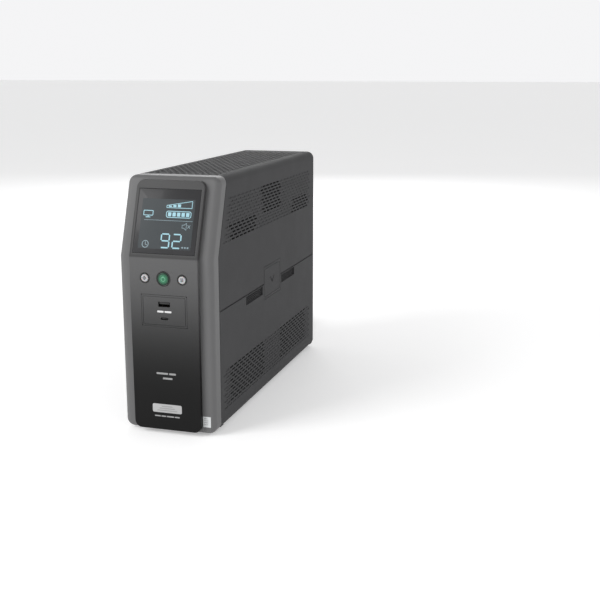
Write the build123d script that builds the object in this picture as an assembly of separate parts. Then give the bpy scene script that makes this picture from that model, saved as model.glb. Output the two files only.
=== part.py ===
from build123d import *
from math import cos, pi, radians, sin, tan
import os

# Uninterruptible power supply, tower form, in millimetres.
# +X is to the right of a person who faces the front, +Y runs back to the sockets, +Z is up.
# The origin is on the surface that the feet rest on, at the middle of the footprint.

# ---- Body ----
WIDTH = 100.0
HEIGHT = 260.0
BODY_DEPTH = 362.0
REAR_REACH = 12.0
FOOT_HEIGHT = 2.0
WALL = 2.5
EDGE_RADIUS = 8.5
FRONT_RADIUS = 6.0
SEAM_GAP = 0.3
SIDE_X = WIDTH / 2
FIT = 0.15
MOVING_GAP = 0.3

# ---- Front: vertical below the kink, leaning back above it ----
KINK_DROP = 78.0
KINK_Z = HEIGHT - KINK_DROP
LEAN_ANGLE = 19.5
FASCIA_PROUD = 5.0
BEZEL_DEPTH = 22.0
FASCIA_INSET = 13.5
FASCIA_WIDTH = WIDTH - 2 * FASCIA_INSET
FASCIA_LEDGE = 5.0
FASCIA_BOTTOM = 4.5
FASCIA_TOP_S = 79.0
FASCIA_RADIUS = 7.5

# ---- Batteries, and the shelf and seams that stand clear of them ----
BATTERY = (65.0, 151.0, 94.0)
BATTERY_GAP = 1.0
BATTERY_COVER_GAP = 2.6
BATTERY_FLOOR_GAP = 2.0
BATTERY_SIDE_GAP = 0.4
BATTERY_CORNER = 2.0
TERMINAL_TAB = (0.8, 6.3, 5.0)
TAB_INSETS = (10.0, 12.0)
SHELF_GAP = 1.0
SHELF_THICKNESS = 2.0
SHELF_TO_SEAM = 20.5
SHELF_END_GAP = 1.0
COVER_SEAM_INSET = 8.5
SHELF_TO_COVER = 1.5
DOCK_SIZE = (7.0, 34.0, 22.0)
DOCK_SOCKET_DEPTH = 10.0
DOCK_CLEARANCE = 1.0
BATTERY_BASE_Z = FOOT_HEIGHT + WALL + BATTERY_FLOOR_GAP
BATTERY_RIGHT_X = SIDE_X - WALL - BATTERY_COVER_GAP
SHELF_Z = BATTERY_BASE_Z + BATTERY[2] + TERMINAL_TAB[2] + SHELF_GAP
MID_SEAM_Z = SHELF_Z + SHELF_TO_SEAM
COVER_SEAM_X = SIDE_X - COVER_SEAM_INSET
SHELF_EDGE_X = COVER_SEAM_X - SHELF_TO_COVER
DIVIDER_X = BATTERY_RIGHT_X - BATTERY[0] - BATTERY_SIDE_GAP

# ---- Vent slots ----
SLOT_LENGTH = 9.6
SLOT_WIDTH = 1.9
SLOT_PITCH = 12.0
ROW_PITCH = 3.55
SLOT_TO_SEAM = 9.0
FIELD_TO_REAR = 18.0
FIELD_END_DEPTH = BODY_DEPTH - FIELD_TO_REAR
UPPER_ROW_RISE = 12.5
UPPER_ROWS = 13
LOWER_ROW_Z = 21.5
LOWER_ROWS = 12
TOP_ROWS = 21
# Blocks of slots that go right through, as two depths behind the front and two distances across:
# height above the kink for the upper ones, height for the lower ones and X for the top one.
UPPER_OPEN = ((57.0, 136.0, 10.5, 29.0), (156.0, 223.0, 26.0, 58.0), (267.0, 332.0, 10.5, 29.0))
LOWER_OPEN = ((53.0, 156.0, 24.0, 64.0), (219.0, 319.0, 24.0, 64.0))
TOP_OPEN = ((150.0, 236.0, -30.0, 30.0),)

# ---- Battery cover: latch tab and finger pockets ----
LATCH_DEPTHS = (159.0, 220.0)
LATCH_BELOW_SEAM = 18.6
LATCH_ABOVE_SEAM = 19.0
LATCH_HEIGHTS = (MID_SEAM_Z - LATCH_BELOW_SEAM, MID_SEAM_Z + LATCH_ABOVE_SEAM)
LATCH_TRAVEL = 3.0
LATCH_STEM = 8.0
POCKET_DEPTHS = ((99.0, 157.0), (222.0, 277.0))
POCKET_HEIGHT = 11.0
POCKET_REACH = 7.0
POCKET_WALL = 1.5
TONGUE = (14.0, 8.0, 2.0)

# ---- Buttons, display and front sockets ----
BUTTON_DROP = 20.0
BUTTON_Z = KINK_Z - BUTTON_DROP
BUTTON_PITCH = 20.0
BUTTON_DIAMETERS = (7.5, 12.0, 7.5)
BUTTON_NAMES = ("mute_button", "power_button", "menu_button")
RING_WALL = 1.2
BUTTON_PROUD = 0.6
RING_PROUD = 0.3
BUTTON_EDGE = 0.3
BUTTON_LENGTH = 9.0
BUTTON_TRAVEL = 1.0
SWITCH_SIZE = (6.0, 3.5, 6.0)
WINDOW_SIZE = (66.0, 65.0)
WINDOW_CENTRE_S = 37.5
WINDOW_THICKNESS = 1.5
LCD_SIZE = (57.0, 53.0, 5.0)
BOARD_THICKNESS = 1.6
LCD_BOARD_INSET = 2.0
USB_PLATE = (48.8, 32.1)
USB_PLATE_DROP = 52.7
USB_PLATE_Z = KINK_Z - USB_PLATE_DROP
USB_PLATE_THICKNESS = 2.0
USB_A_Z = USB_PLATE_Z + 6.7
USB_A_SIZE = (13.2, 5.7, 14.0)
USB_C_Z = USB_PLATE_Z - 7.8
USB_C_SIZE = (9.0, 3.3, 8.0)
SHELL_THICKNESS = 0.4
USB_TONGUE = 1.9
BADGE_SIZE = (32.0, 9.0, 0.6)
BADGE_Z = 27.5

# ---- Rear panel and what it carries ----
PANEL_THICKNESS = 3.0
PANEL_EDGE = 1.5
OUTLET_HEIGHTS = (156.5, 127.7, 98.9, 70.1, 24.5)
BANK_X = (13.4, SIDE_X - 4.1)
BANK_Z = (14.0, 166.0)
BANK_DEPTH = 20.0
BANK_FACE = 7.0
SCREW_X = SIDE_X - 9.4
SCREW_HEIGHTS = (HEIGHT - 8.1, BANK_Z[1] + 4.8, FOOT_HEIGHT + 6.8)
SCREW_HEAD = 5.6
SCREW_HEAD_HEIGHT = 1.8
SCREW_SINK = 0.4
CROSS_RECESS = (3.2, 1.6, 0.9)
SCREW_RECESS = 8.0
SCREW_SHANK = 3.0
SCREW_LENGTH = 12.0
BLADE_X = 22.2
GROUND_X = 34.3
BLADE_SPACING = 12.7
WIDE_BLADE = 8.7
NARROW_BLADE = 7.0
BLADE_SLOT = 2.4
GROUND_HOLE = (5.4, 5.6)
CLIP_CAVITY = (11.0, 5.2)
CLIP_SHEET = 0.7
JACK_SIZE = (15.8, 14.3, 16.0)
JACK_BORE = (6.6, 11.8, 13.0)
JACK_NOTCH = (3.2, 5.0)
JACK_WIRES = 8
JACK_WIRE_PITCH = 1.02
JACK_WIRE = 0.4
NETWORK_X = SIDE_X - 16.6
NETWORK_HEIGHTS = (HEIGHT - 26.5, HEIGHT - 41.0)
DATA_X = 15.2 - SIDE_X
DATA_Z = HEIGHT - 26.8
COAX_X = 10.4
COAX_Z = HEIGHT - 63.5
COAX_BARREL = 9.4
COAX_BORE = 7.4
COAX_HEX = 11.6
COAX_NUT = 2.5
COAX_INSIDE = 10.0
TERMINAL_X = 12.5 - SIDE_X
TERMINAL_Z = HEIGHT - 67.4
TERMINAL_SIZE = 7.5
TERMINAL_WASHER = 1.2
TERMINAL_HEAD = (6.5, 2.8)
TERMINAL_SHANK = 4.0
TERMINAL_SLOT = (1.6, 1.0)
LAMP_X = 11.7 - SIDE_X
LAMP_Z = HEIGHT - 77.3
LAMP_DIAMETER = 5.6
LAMP_PROUD = 1.0
LAMP_INSIDE = 2.0
LAMP_EDGE = 0.9
BREAKER_ABOVE_SHELF = 35.4
BREAKER_Z = SHELF_Z + BREAKER_ABOVE_SHELF
BREAKER_RING = 18.5
BREAKER_THREAD = 13.0
BREAKER_BUTTON = 7.3
BREAKER_TRAVEL = 3.0
BREAKER_BODY = (14.0, 28.0, 32.0)
BREAKER_NECK = 3.2
BREAKER_NUT = 2.0
BREAKER_GRIP = 7.0
BREAKER_BORE_DEPTH = BREAKER_GRIP + BREAKER_TRAVEL
BREAKER_BUTTON_PROUD = 4.6
BREAKER_BUTTON_EDGE = 0.8

# ---- Transformer ----
CORE = (62.0, 84.0, 72.0)
CORE_FRONT_DEPTH = 62.0
WINDING_BULGE = 12.0
WINDING_GAP = 1.0
BRACKET_SHEET = 2.0
BRACKET_FLANGE = 12.0
BRACKET_GAP = 1.0

# ---- Main board on the left wall ----
BOARD_X = 8.0 - SIDE_X
BOARD_DEPTHS = (170.0, BODY_DEPTH - 37.0)
BOARD_HEIGHTS = (SHELF_Z + 7.5, HEIGHT - 14.0)
POST_DIAMETER = 6.0
POST_INSET = 6.0
SINK = (30.0, 60.0, 44.0)
SINK_FINS = 7
SINK_FIN = 1.6
SINK_SPINE = 3.0
SINK_PLACE = (14.0, 8.0)
CAN_DIAMETER = 22.0
CAN_LENGTH = 36.0
CANS = 3
CAN_GAP = 2.0
CAN_EDGE = 1.5
CAN_PLACE = (20.0, 22.0)
RELAY = (15.0, 28.0, 12.0)
RELAYS = 4
RELAY_GAP = 3.0
RELAY_PLACE = (24.0, 14.0)
CHOKE_OUTER = 30.0
CHOKE_INNER = 14.0
CHOKE_THICKNESS = 13.0
CHOKE_PLACE = (62.0, 24.0)
BUZZER_DIAMETER = 12.0
BUZZER_LENGTH = 8.0
BUZZER_INSET = 8.0

# ---- Feet ----
FOOT_DIAMETER = 14.0
FOOT_EDGE = 0.6
FOOT_INSET_X = 22.0
FOOT_INSET_FRONT = 40.0
FOOT_INSET_REAR = 30.0

# ---- Power cord: free length, 1.83 m from the strain relief to the plug ----
CORD_DIAMETER = 8.6
CORD_LENGTH = 1830.0
CORD_EXIT_Z = 11.0
RELIEF_LENGTH = 30.0
RELIEF_BASE = 17.0
RELIEF_TIP = 13.0
RELIEF_RIBS = 5
RELIEF_GROOVE = 2.0
RELIEF_FLANGE = (19.6, 4.0)
RELIEF_LIP = 1.0
LEAD_STRAIGHT = 16.5
LEAD_DROP = 18.0
LEAD_END = 16.5
COIL_SHIFT = 2.0
COIL_MIDDLE_RADIUS = 49.45
COIL_TURNS = 5.5
COIL_WIDE = 2
COIL_HIGH = 3
TIE_WIDTH = 12.0
TIE_SHEET = 0.8
PLUG_BODY = (25.0, 38.0, 25.0)
PLUG_CORNER = 5.0
PLUG_NECK = (13.0, 14.0)
BLADE_DROP = 3.0
PIN_RISE = 7.5
BLADE_SIZE = (1.5, 17.0, 6.35)
PIN_DIAMETER = 4.8
PIN_LENGTH = 20.0
PIN_POINT = 1.5

ARC_SHARE = 0.45

# ---- Values worked out from the above ----
FRONT_Y = (BUTTON_PROUD - REAR_REACH - BODY_DEPTH) / 2
REAR_Y = FRONT_Y + BODY_DEPTH
PANEL_Y = REAR_Y - PANEL_THICKNESS
BEZEL_Y = FRONT_Y + FASCIA_PROUD
SEAM_Y = FRONT_Y + BEZEL_DEPTH
LEAN = tan(radians(LEAN_ANGLE))
BEYOND = 400.0

SLOPE = Plane(
    origin=(0, FRONT_Y, KINK_Z),
    x_dir=(1, 0, 0),
    z_dir=(0, -cos(radians(LEAN_ANGLE)), sin(radians(LEAN_ANGLE))),
)


def span(xs, ys, zs):
    """A box from three pairs of limits."""
    size = (xs[1] - xs[0], ys[1] - ys[0], zs[1] - zs[0])
    middle = ((xs[0] + xs[1]) / 2, (ys[0] + ys[1]) / 2, (zs[0] + zs[1]) / 2)
    return Pos(*middle) * Box(*size)


def along_y(x, z, y_start, y_end, diameter):
    """A round bar along Y."""
    bar = Cylinder(diameter / 2, y_end - y_start)
    return Pos(x, (y_start + y_end) / 2, z) * Rot(90, 0, 0) * bar


def outline_y(sketch, y_start, y_end):
    """A sketch drawn as X and Z, extruded from y_start to y_end."""
    frame = Plane(origin=(0, y_start, 0), x_dir=(1, 0, 0), z_dir=(0, -1, 0))
    return extrude(frame * sketch, amount=y_start - y_end)


def fused(pieces):
    """One solid from a list that touches or overlaps."""
    return pieces[0].fuse(*pieces[1:]) if len(pieces) > 1 else pieces[0]


def group(pieces):
    """Separate solids that share a node."""
    return Compound(children=[solid for piece in pieces for solid in piece.solids()])


def side_profile(front_y, back_y, low_z, high_z):
    """A side view with a front line that leans back above the kink, run across the whole width."""
    lean_back = (high_z - KINK_Z) * LEAN
    points = (
        (front_y, low_z),
        (front_y, KINK_Z),
        (front_y + lean_back, high_z),
        (back_y, high_z),
        (back_y, low_z),
    )
    wire = Polyline(*[(0, y, z) for y, z in points], close=True)
    return extrude(make_face(wire), amount=WIDTH, both=True, dir=(1, 0, 0))


def section(inset):
    """The body's cross-section, drawn as X and Z."""
    high = HEIGHT - FOOT_HEIGHT - 2 * inset
    middle = FOOT_HEIGHT + (HEIGHT - FOOT_HEIGHT) / 2
    return Pos(0, middle) * RectangleRounded(WIDTH - 2 * inset, high, EDGE_RADIUS - inset)


def body_block(inset):
    """The body without its fascia and rear panel, shrunk by an inset on every side but the rear."""
    block = outline_y(section(inset), BEZEL_Y - WALL, PANEL_Y)
    front = side_profile(BEZEL_Y + inset, REAR_Y, -BEYOND / 2, BEYOND)
    block = block & front
    if inset == 0:
        block = fillet(front_outline(block), FRONT_RADIUS)
    return block


def front_outline(block):
    """The edges around the two front faces, without the kink between them."""
    faces = [face for face in block.faces() if face.normal_at().Y < -0.5]
    edges = [edge for face in faces for edge in face.edges()]
    return [edge for edge in edges if not is_kink(edge)]


def is_kink(edge):
    """True for the level edge across the front where the slope starts."""
    middle = edge.center()
    return abs(middle.Z - KINK_Z) < WALL and abs(middle.X) < WALL


def slot_grid(row_first, rows, start_of_row):
    """Centres of staggered vent slots, as depth behind the front plane and distance across."""
    centres = []
    for row in range(rows):
        across = row_first + row * ROW_PITCH
        start = start_of_row(across) + (SLOT_PITCH / 2 if row % 2 else 0)
        count = int((FIELD_END_DEPTH - start - SLOT_LENGTH / 2) // SLOT_PITCH) + 1
        centres += [(start + step * SLOT_PITCH, across) for step in range(count)]
    return centres


def upper_start(rise):
    """Depth of the first slot's centre in an upper row, which follows the leaning seam."""
    return BEZEL_DEPTH + rise * LEAN + SLOT_TO_SEAM + SLOT_LENGTH / 2


def lower_start(z):
    """Depth of the first slot's centre in a lower row."""
    return BEZEL_DEPTH + SLOT_TO_SEAM + SLOT_LENGTH / 2


def top_start(x):
    """Depth of the first slot's centre in a row of the top."""
    return BEZEL_DEPTH + KINK_DROP * LEAN + SLOT_TO_SEAM


def in_blocks(centre, blocks):
    """True where a slot lies in one of the blocks that go right through the wall."""
    return any(low <= centre[0] <= high and left <= centre[1] <= right
               for low, high, left, right in blocks)


def side_slots(grid, blocks, x, base_z=0.0):
    """Cutters for the slots that go through a side wall at x, their heights counted from base_z."""
    tool = extrude(Plane.YZ * SlotOverall(SLOT_LENGTH, SLOT_WIDTH), amount=2 * WALL, both=True)
    return [Pos(x, FRONT_Y + depth, base_z + rise) * tool
            for depth, rise in grid if in_blocks((depth, rise), blocks)]


def top_slots():
    """Cutters for the slots that go through the top wall."""
    tool = extrude(SlotOverall(SLOT_LENGTH, SLOT_WIDTH, rotation=90), amount=2 * WALL, both=True)
    grid = slot_grid(-(TOP_ROWS - 1) / 2 * ROW_PITCH, TOP_ROWS, top_start)
    return [Pos(x, FRONT_Y + depth, HEIGHT) * tool
            for depth, x in grid if in_blocks((depth, x), TOP_OPEN)]


def latch_hole(clearance):
    """The notch across the mid seam that the latch tab fills."""
    ys = (FRONT_Y + LATCH_DEPTHS[0] - clearance, FRONT_Y + LATCH_DEPTHS[1] + clearance)
    zs = (LATCH_HEIGHTS[0] - clearance, LATCH_HEIGHTS[1] + clearance)
    return span((SIDE_X - LATCH_STEM - WALL, SIDE_X + WALL), ys, zs)


def right_side(low_z, high_z, shell):
    """The part of the shell that lies right of the cover seam, between two heights."""
    region = span((COVER_SEAM_X + SEAM_GAP, SIDE_X + WALL),
                  (FRONT_Y, PANEL_Y - SEAM_GAP), (low_z, high_z))
    return shell & region & side_profile(SEAM_Y + SEAM_GAP, REAR_Y, -BEYOND / 2, BEYOND)


def make_shells():
    """Housing, upper right cover, battery cover and front bezel, cut from one hollow body."""
    shell = body_block(0) - body_block(WALL)
    behind = shell & side_profile(SEAM_Y, REAR_Y, -BEYOND / 2, BEYOND)
    bezel = shell - side_profile(SEAM_Y - SEAM_GAP, REAR_Y, -BEYOND / 2, BEYOND)
    upper = slot_grid(UPPER_ROW_RISE, UPPER_ROWS, upper_start)
    lower = slot_grid(LOWER_ROW_Z, LOWER_ROWS, lower_start)

    right_edge = span((COVER_SEAM_X, SIDE_X + WALL), (FRONT_Y, REAR_Y), (-WALL, HEIGHT + WALL))
    housing = behind - right_edge
    cutters = side_slots(upper, UPPER_OPEN, -SIDE_X, KINK_Z) + side_slots(lower, LOWER_OPEN, -SIDE_X)
    housing = housing.cut(*cutters, *top_slots(), *cord_notch())

    right_cover = right_side(MID_SEAM_Z, HEIGHT + WALL, shell) - latch_hole(MOVING_GAP)
    right_cover = right_cover.cut(*side_slots(upper, UPPER_OPEN, SIDE_X, KINK_Z))

    battery_cover = right_side(-WALL, MID_SEAM_Z - SEAM_GAP, shell)
    battery_cover = add_pockets(battery_cover) - latch_hole(MOVING_GAP)
    battery_cover = battery_cover.cut(*side_slots(lower, LOWER_OPEN, SIDE_X))
    return {
        "main_housing": housing,
        "right_cover": right_cover,
        "battery_cover": battery_cover,
        "front_bezel": bezel - bezel_window(),
        "cover_latch": make_latch(),
    }


def add_pockets(cover):
    """Finger pockets behind the cover's upper edge, and the two tongues at its lower edge."""
    for start, end in POCKET_DEPTHS:
        ys = (FRONT_Y + start, FRONT_Y + end)
        zs = (MID_SEAM_Z - SEAM_GAP - POCKET_HEIGHT - POCKET_WALL, MID_SEAM_Z - SEAM_GAP)
        cup = span((SIDE_X - POCKET_REACH - POCKET_WALL, SIDE_X - WALL / 2), ys, zs)
        hollow = span((SIDE_X - POCKET_REACH, SIDE_X + WALL),
                      (ys[0] + POCKET_WALL, ys[1] - POCKET_WALL),
                      (zs[0] + POCKET_WALL, zs[1] - POCKET_WALL))
        cover = cover + cup - hollow
    for y in (SEAM_Y + MOVING_GAP, PANEL_Y - MOVING_GAP - TONGUE[1]):
        base_z = FOOT_HEIGHT + WALL + MOVING_GAP
        tongue = span((SIDE_X - WALL / 2 - TONGUE[0], SIDE_X - WALL / 2), (y, y + TONGUE[1]),
                      (base_z, base_z + TONGUE[2]))
        cover = cover + tongue
    return cover


def make_latch():
    """Press-in tab, flush with the side, on a shorter stem."""
    ys = (FRONT_Y + LATCH_DEPTHS[0], FRONT_Y + LATCH_DEPTHS[1])
    plate = span((SIDE_X - WALL, SIDE_X), ys, LATCH_HEIGHTS)
    stem_ys = (ys[0] + LATCH_STEM, ys[1] - LATCH_STEM)
    stem_zs = (LATCH_HEIGHTS[0] + WALL, MID_SEAM_Z - LATCH_STEM)
    stem = span((SIDE_X - WALL - LATCH_TRAVEL, SIDE_X - WALL), stem_ys, stem_zs)
    return plate + stem


def fascia_strip(front, back):
    """The bent strip between two places along Y, from below the kink to the top."""
    low, high = -BEYOND / 2, BEYOND
    return side_profile(front, REAR_Y, low, high) - side_profile(back, REAR_Y, low, high)


def fascia_outline(inset):
    """The fascia's outline in front view, as X and Z."""
    top = KINK_Z + FASCIA_TOP_S * cos(radians(LEAN_ANGLE)) - inset
    low = FASCIA_BOTTOM + inset
    width = FASCIA_WIDTH - 2 * inset
    return Pos(0, (top + low) / 2) * RectangleRounded(width, top - low, FASCIA_RADIUS)


def bezel_window():
    """The opening in the bezel behind the fascia, narrower than it by a ledge."""
    return outline_y(fascia_outline(FASCIA_LEDGE), FRONT_Y - WALL, SEAM_Y + KINK_DROP * LEAN)


def on_slope(x, s, depth, size):
    """A box on the sloped part: across, up the slope from the kink, and its outer face's depth."""
    return SLOPE.location * Pos(x, s, -depth - size[2] / 2) * Box(*size)


def make_front():
    """Fascia, display, buttons, switches and front sockets."""
    outline = outline_y(fascia_outline(0), FRONT_Y - WALL, REAR_Y)
    fascia = fascia_strip(FRONT_Y, BEZEL_Y) & outline
    grown = 2 * FIT
    pocket_size = (WINDOW_SIZE[0] + grown, WINDOW_SIZE[1] + grown, WINDOW_THICKNESS)
    lcd_hole_size = (LCD_SIZE[0] + grown, LCD_SIZE[1] + grown, 4 * FASCIA_PROUD)
    fascia = fascia - on_slope(0, WINDOW_CENTRE_S, 0, pocket_size)
    fascia = fascia - on_slope(0, WINDOW_CENTRE_S, 0, lcd_hole_size)
    lcd_board_size = (LCD_SIZE[0] - LCD_BOARD_INSET, WINDOW_SIZE[1], BOARD_THICKNESS)
    nodes = {
        "display_window": on_slope(0, WINDOW_CENTRE_S, 0, (*WINDOW_SIZE, WINDOW_THICKNESS)),
        "lcd_module": on_slope(0, WINDOW_CENTRE_S, WINDOW_THICKNESS, LCD_SIZE),
        "display_board": on_slope(0, WINDOW_CENTRE_S, WINDOW_THICKNESS + LCD_SIZE[2], lcd_board_size),
    }
    button_nodes, holes = make_buttons()
    nodes.update(button_nodes)
    nodes.update(make_usb())
    nodes["front_panel"] = fascia.cut(*holes) - usb_plate_block(FIT) - usb_hole()
    badge_xs = (-BADGE_SIZE[0] / 2, BADGE_SIZE[0] / 2)
    badge_zs = (BADGE_Z - BADGE_SIZE[1] / 2, BADGE_Z + BADGE_SIZE[1] / 2)
    nodes["front_badge"] = span(badge_xs, (FRONT_Y - BADGE_SIZE[2], FRONT_Y), badge_zs)
    return nodes


def make_buttons():
    """Buttons with their rings, switches and board, and the holes that the rings need."""
    nodes = {}
    rings = []
    switches = []
    holes = []
    cap_y = FRONT_Y - BUTTON_PROUD
    switch_y = cap_y + BUTTON_LENGTH + BUTTON_TRAVEL + MOVING_GAP
    board_y = switch_y + SWITCH_SIZE[1]
    for index, name in enumerate(BUTTON_NAMES):
        x = (index - 1) * BUTTON_PITCH
        diameter = BUTTON_DIAMETERS[index]
        inner = diameter + 2 * MOVING_GAP
        outer = inner + 2 * RING_WALL
        ring = along_y(x, BUTTON_Z, FRONT_Y - RING_PROUD, BEZEL_Y, outer)
        rings.append(ring - along_y(x, BUTTON_Z, FRONT_Y - WALL, BEZEL_Y + WALL, inner))
        holes.append(along_y(x, BUTTON_Z, FRONT_Y - WALL, BEZEL_Y + WALL, outer))
        cap = along_y(x, BUTTON_Z, cap_y, cap_y + BUTTON_LENGTH, diameter)
        nodes[name] = fillet(cap.edges().group_by(Axis.Y)[0], BUTTON_EDGE)
        switches.append(Pos(x, switch_y + SWITCH_SIZE[1] / 2, BUTTON_Z) * Box(*SWITCH_SIZE))
    board_xs = (-BUTTON_PITCH - SWITCH_SIZE[0], BUTTON_PITCH + SWITCH_SIZE[0])
    board_zs = (BUTTON_Z - SWITCH_SIZE[2], BUTTON_Z + SWITCH_SIZE[2])
    nodes["button_rings"] = group(rings)
    nodes["button_switches"] = group(switches)
    nodes["button_board"] = span(board_xs, (board_y, board_y + BOARD_THICKNESS), board_zs)
    return nodes, holes


def usb_plate_block(clearance):
    """The front socket plate's block, with a clearance all round."""
    xs = (-USB_PLATE[0] / 2 - clearance, USB_PLATE[0] / 2 + clearance)
    zs = (USB_PLATE_Z - USB_PLATE[1] / 2 - clearance, USB_PLATE_Z + USB_PLATE[1] / 2 + clearance)
    return span(xs, (FRONT_Y, FRONT_Y + USB_PLATE_THICKNESS), zs)


def usb_hole():
    """The hole behind the socket plate."""
    half_x = USB_PLATE[0] / 2 - WALL
    half_z = USB_PLATE[1] / 2 - WALL
    zs = (USB_PLATE_Z - half_z, USB_PLATE_Z + half_z)
    return span((-half_x, half_x), (FRONT_Y, BEZEL_Y + WALL), zs)


def make_usb():
    """The socket plate, the two sockets behind it and their board."""
    thin = SHELL_THICKNESS
    high_a = USB_A_Z + USB_A_SIZE[1] / 2 - 2 * thin
    port_a, block_a = usb_port(USB_A_Z, USB_A_SIZE, (high_a - USB_TONGUE, high_a))
    port_c, block_c = usb_port(USB_C_Z, USB_C_SIZE, (USB_C_Z - thin, USB_C_Z + thin))
    board_xs = (-USB_PLATE[0] / 2 + WALL, USB_PLATE[0] / 2 - WALL)
    board_y = FRONT_Y + USB_A_SIZE[2]
    board_zs = (USB_PLATE_Z - USB_PLATE[1] / 2 + WALL, USB_PLATE_Z + USB_PLATE[1] / 2 - WALL)
    return {
        "usb_a_port": port_a,
        "usb_c_port": port_c,
        "usb_plate": usb_plate_block(0) - block_a - block_c,
        "usb_board": span(board_xs, (board_y, board_y + BOARD_THICKNESS), board_zs),
    }


def usb_port(z, size, tongue_zs):
    """A sheet metal socket shell with its tongue, and the block that it takes up."""
    half_x = size[0] / 2
    half_z = size[1] / 2
    thin = SHELL_THICKNESS
    outer = span((-half_x, half_x), (FRONT_Y, FRONT_Y + size[2]), (z - half_z, z + half_z))
    inner = span((-half_x + thin, half_x - thin), (FRONT_Y - thin, FRONT_Y + size[2] - thin),
                 (z - half_z + thin, z + half_z - thin))
    tongue = span((-half_x + 3 * thin, half_x - 3 * thin),
                  (FRONT_Y + 2 * thin, FRONT_Y + size[2] - thin / 2), tongue_zs)
    return outer - inner + tongue, outer


def ground_shape(x, z, toward):
    """The D-shaped ground hole, rounded toward the blades."""
    wide, high = GROUND_HOLE
    round_end = Pos(x + toward * (wide - high) / 2, z) * Circle(high / 2)
    flat_end = Pos(x - toward * wide / 4, z) * Rectangle(wide / 2, high)
    return round_end + flat_end


def outlet_sketches(side, z):
    """The two blade slots and the ground hole of one outlet, as X and Z, wide blade by side."""
    top_width = WIDE_BLADE if side > 0 else NARROW_BLADE
    low_width = NARROW_BLADE if side > 0 else WIDE_BLADE
    upper = Pos(side * BLADE_X, z + BLADE_SPACING / 2) * Rectangle(top_width, BLADE_SLOT)
    lower = Pos(side * BLADE_X, z - BLADE_SPACING / 2) * Rectangle(low_width, BLADE_SLOT)
    return upper, lower, ground_shape(side * GROUND_X, z, -side)


def make_bank(side):
    """One column of five outlets and its metal clips."""
    xs = sorted((side * BANK_X[0], side * BANK_X[1]))
    block = span(xs, (REAR_Y - BANK_DEPTH, REAR_Y), BANK_Z)
    clips = {"live": [], "neutral": [], "ground": []}
    cutters = []
    for z in OUTLET_HEIGHTS:
        upper, lower, ground = outlet_sketches(side, z)
        cutters += [outline_y(shape, REAR_Y - BANK_DEPTH - WALL, REAR_Y + WALL)
                    for shape in (upper, lower, ground)]
        kinds = ("neutral", "live") if side > 0 else ("live", "neutral")
        for offset, kind in zip((BLADE_SPACING / 2, -BLADE_SPACING / 2), kinds):
            cutters.append(clip_cavity(side * BLADE_X, z + offset))
            clips[kind].append(blade_clip(side * BLADE_X, z + offset))
        clips["ground"].append(ground_clip(side * GROUND_X, z))
    return block.cut(*cutters), clips


def clip_cavity(x, z):
    """The hollow behind a blade slot that holds its clip."""
    wide, high = CLIP_CAVITY
    return span((x - wide / 2, x + wide / 2), (REAR_Y - BANK_DEPTH - WALL, REAR_Y - BANK_FACE),
                (z - high / 2, z + high / 2))


def blade_clip(x, z):
    """A U of spring sheet around the blade's path, closed at the inner end."""
    wide, high = CLIP_CAVITY
    ys = (REAR_Y - BANK_DEPTH, REAR_Y - BANK_FACE - MOVING_GAP)
    reach = high / 2 - FIT
    outer = span((x - wide / 2 + FIT, x + wide / 2 - FIT), ys, (z - reach, z + reach))
    hollow = span((x - wide, x + wide), (ys[0] + CLIP_SHEET, ys[1] + WALL),
                  (z - reach + CLIP_SHEET, z + reach - CLIP_SHEET))
    return outer - hollow


def ground_clip(x, z):
    """A cap of sheet at the inner end of a ground hole."""
    half = GROUND_HOLE[1] / 2 + CLIP_SHEET
    ys = (REAR_Y - BANK_DEPTH - CLIP_SHEET, REAR_Y - BANK_DEPTH)
    return span((x - half, x + half), ys, (z - half, z + half))


def jack(x, heights, notch_side):
    """A block of modular sockets, one at each height, with the latch notch on one side."""
    wide, high, deep = JACK_SIZE
    low_z = min(heights) - high / 2
    high_z = max(heights) + high / 2
    block = span((x - wide / 2, x + wide / 2), (REAR_Y - deep, REAR_Y), (low_z, high_z))
    bore_wide, bore_high, bore_deep = JACK_BORE
    for z in heights:
        bore_x = x - notch_side * JACK_NOTCH[0] / 2
        ys = (REAR_Y - bore_deep, REAR_Y + WALL)
        bore = span((bore_x - bore_wide / 2, bore_x + bore_wide / 2), ys,
                    (z - bore_high / 2, z + bore_high / 2))
        edge_x = bore_x + notch_side * bore_wide / 2
        notch_xs = sorted((edge_x - notch_side * FIT, edge_x + notch_side * JACK_NOTCH[0]))
        notch = span(notch_xs, ys, (z - JACK_NOTCH[1] / 2, z + JACK_NOTCH[1] / 2))
        block = block - bore - notch
    return block


def jack_contacts(x, heights, notch_side):
    """Eight spring wires on the wall that faces the notch of each socket."""
    wires = []
    for z in heights:
        wall_x = x - notch_side * (JACK_NOTCH[0] / 2 + JACK_BORE[0] / 2)
        near = wall_x + notch_side * CLIP_SHEET
        for step in range(JACK_WIRES):
            wire_z = z + (step - (JACK_WIRES - 1) / 2) * JACK_WIRE_PITCH
            wires.append(span(sorted((wall_x, near)), (REAR_Y - JACK_BORE[2], REAR_Y - WALL),
                              (wire_z - JACK_WIRE / 2, wire_z + JACK_WIRE / 2)))
    return wires


def coax(x):
    """A threaded barrel with a hexagon nut against the panel and a hollow mouth."""
    barrel = along_y(x, COAX_Z, PANEL_Y - COAX_INSIDE, REAR_Y + REAR_REACH, COAX_BARREL)
    hexagon = RegularPolygon(COAX_HEX / 2, 6, major_radius=False)
    nut = outline_y(Pos(x, COAX_Z) * hexagon, REAR_Y, REAR_Y + COAX_NUT)
    mouth = along_y(x, COAX_Z, REAR_Y + COAX_NUT, REAR_Y + REAR_REACH + WALL, COAX_BORE)
    return barrel + nut - mouth


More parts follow.
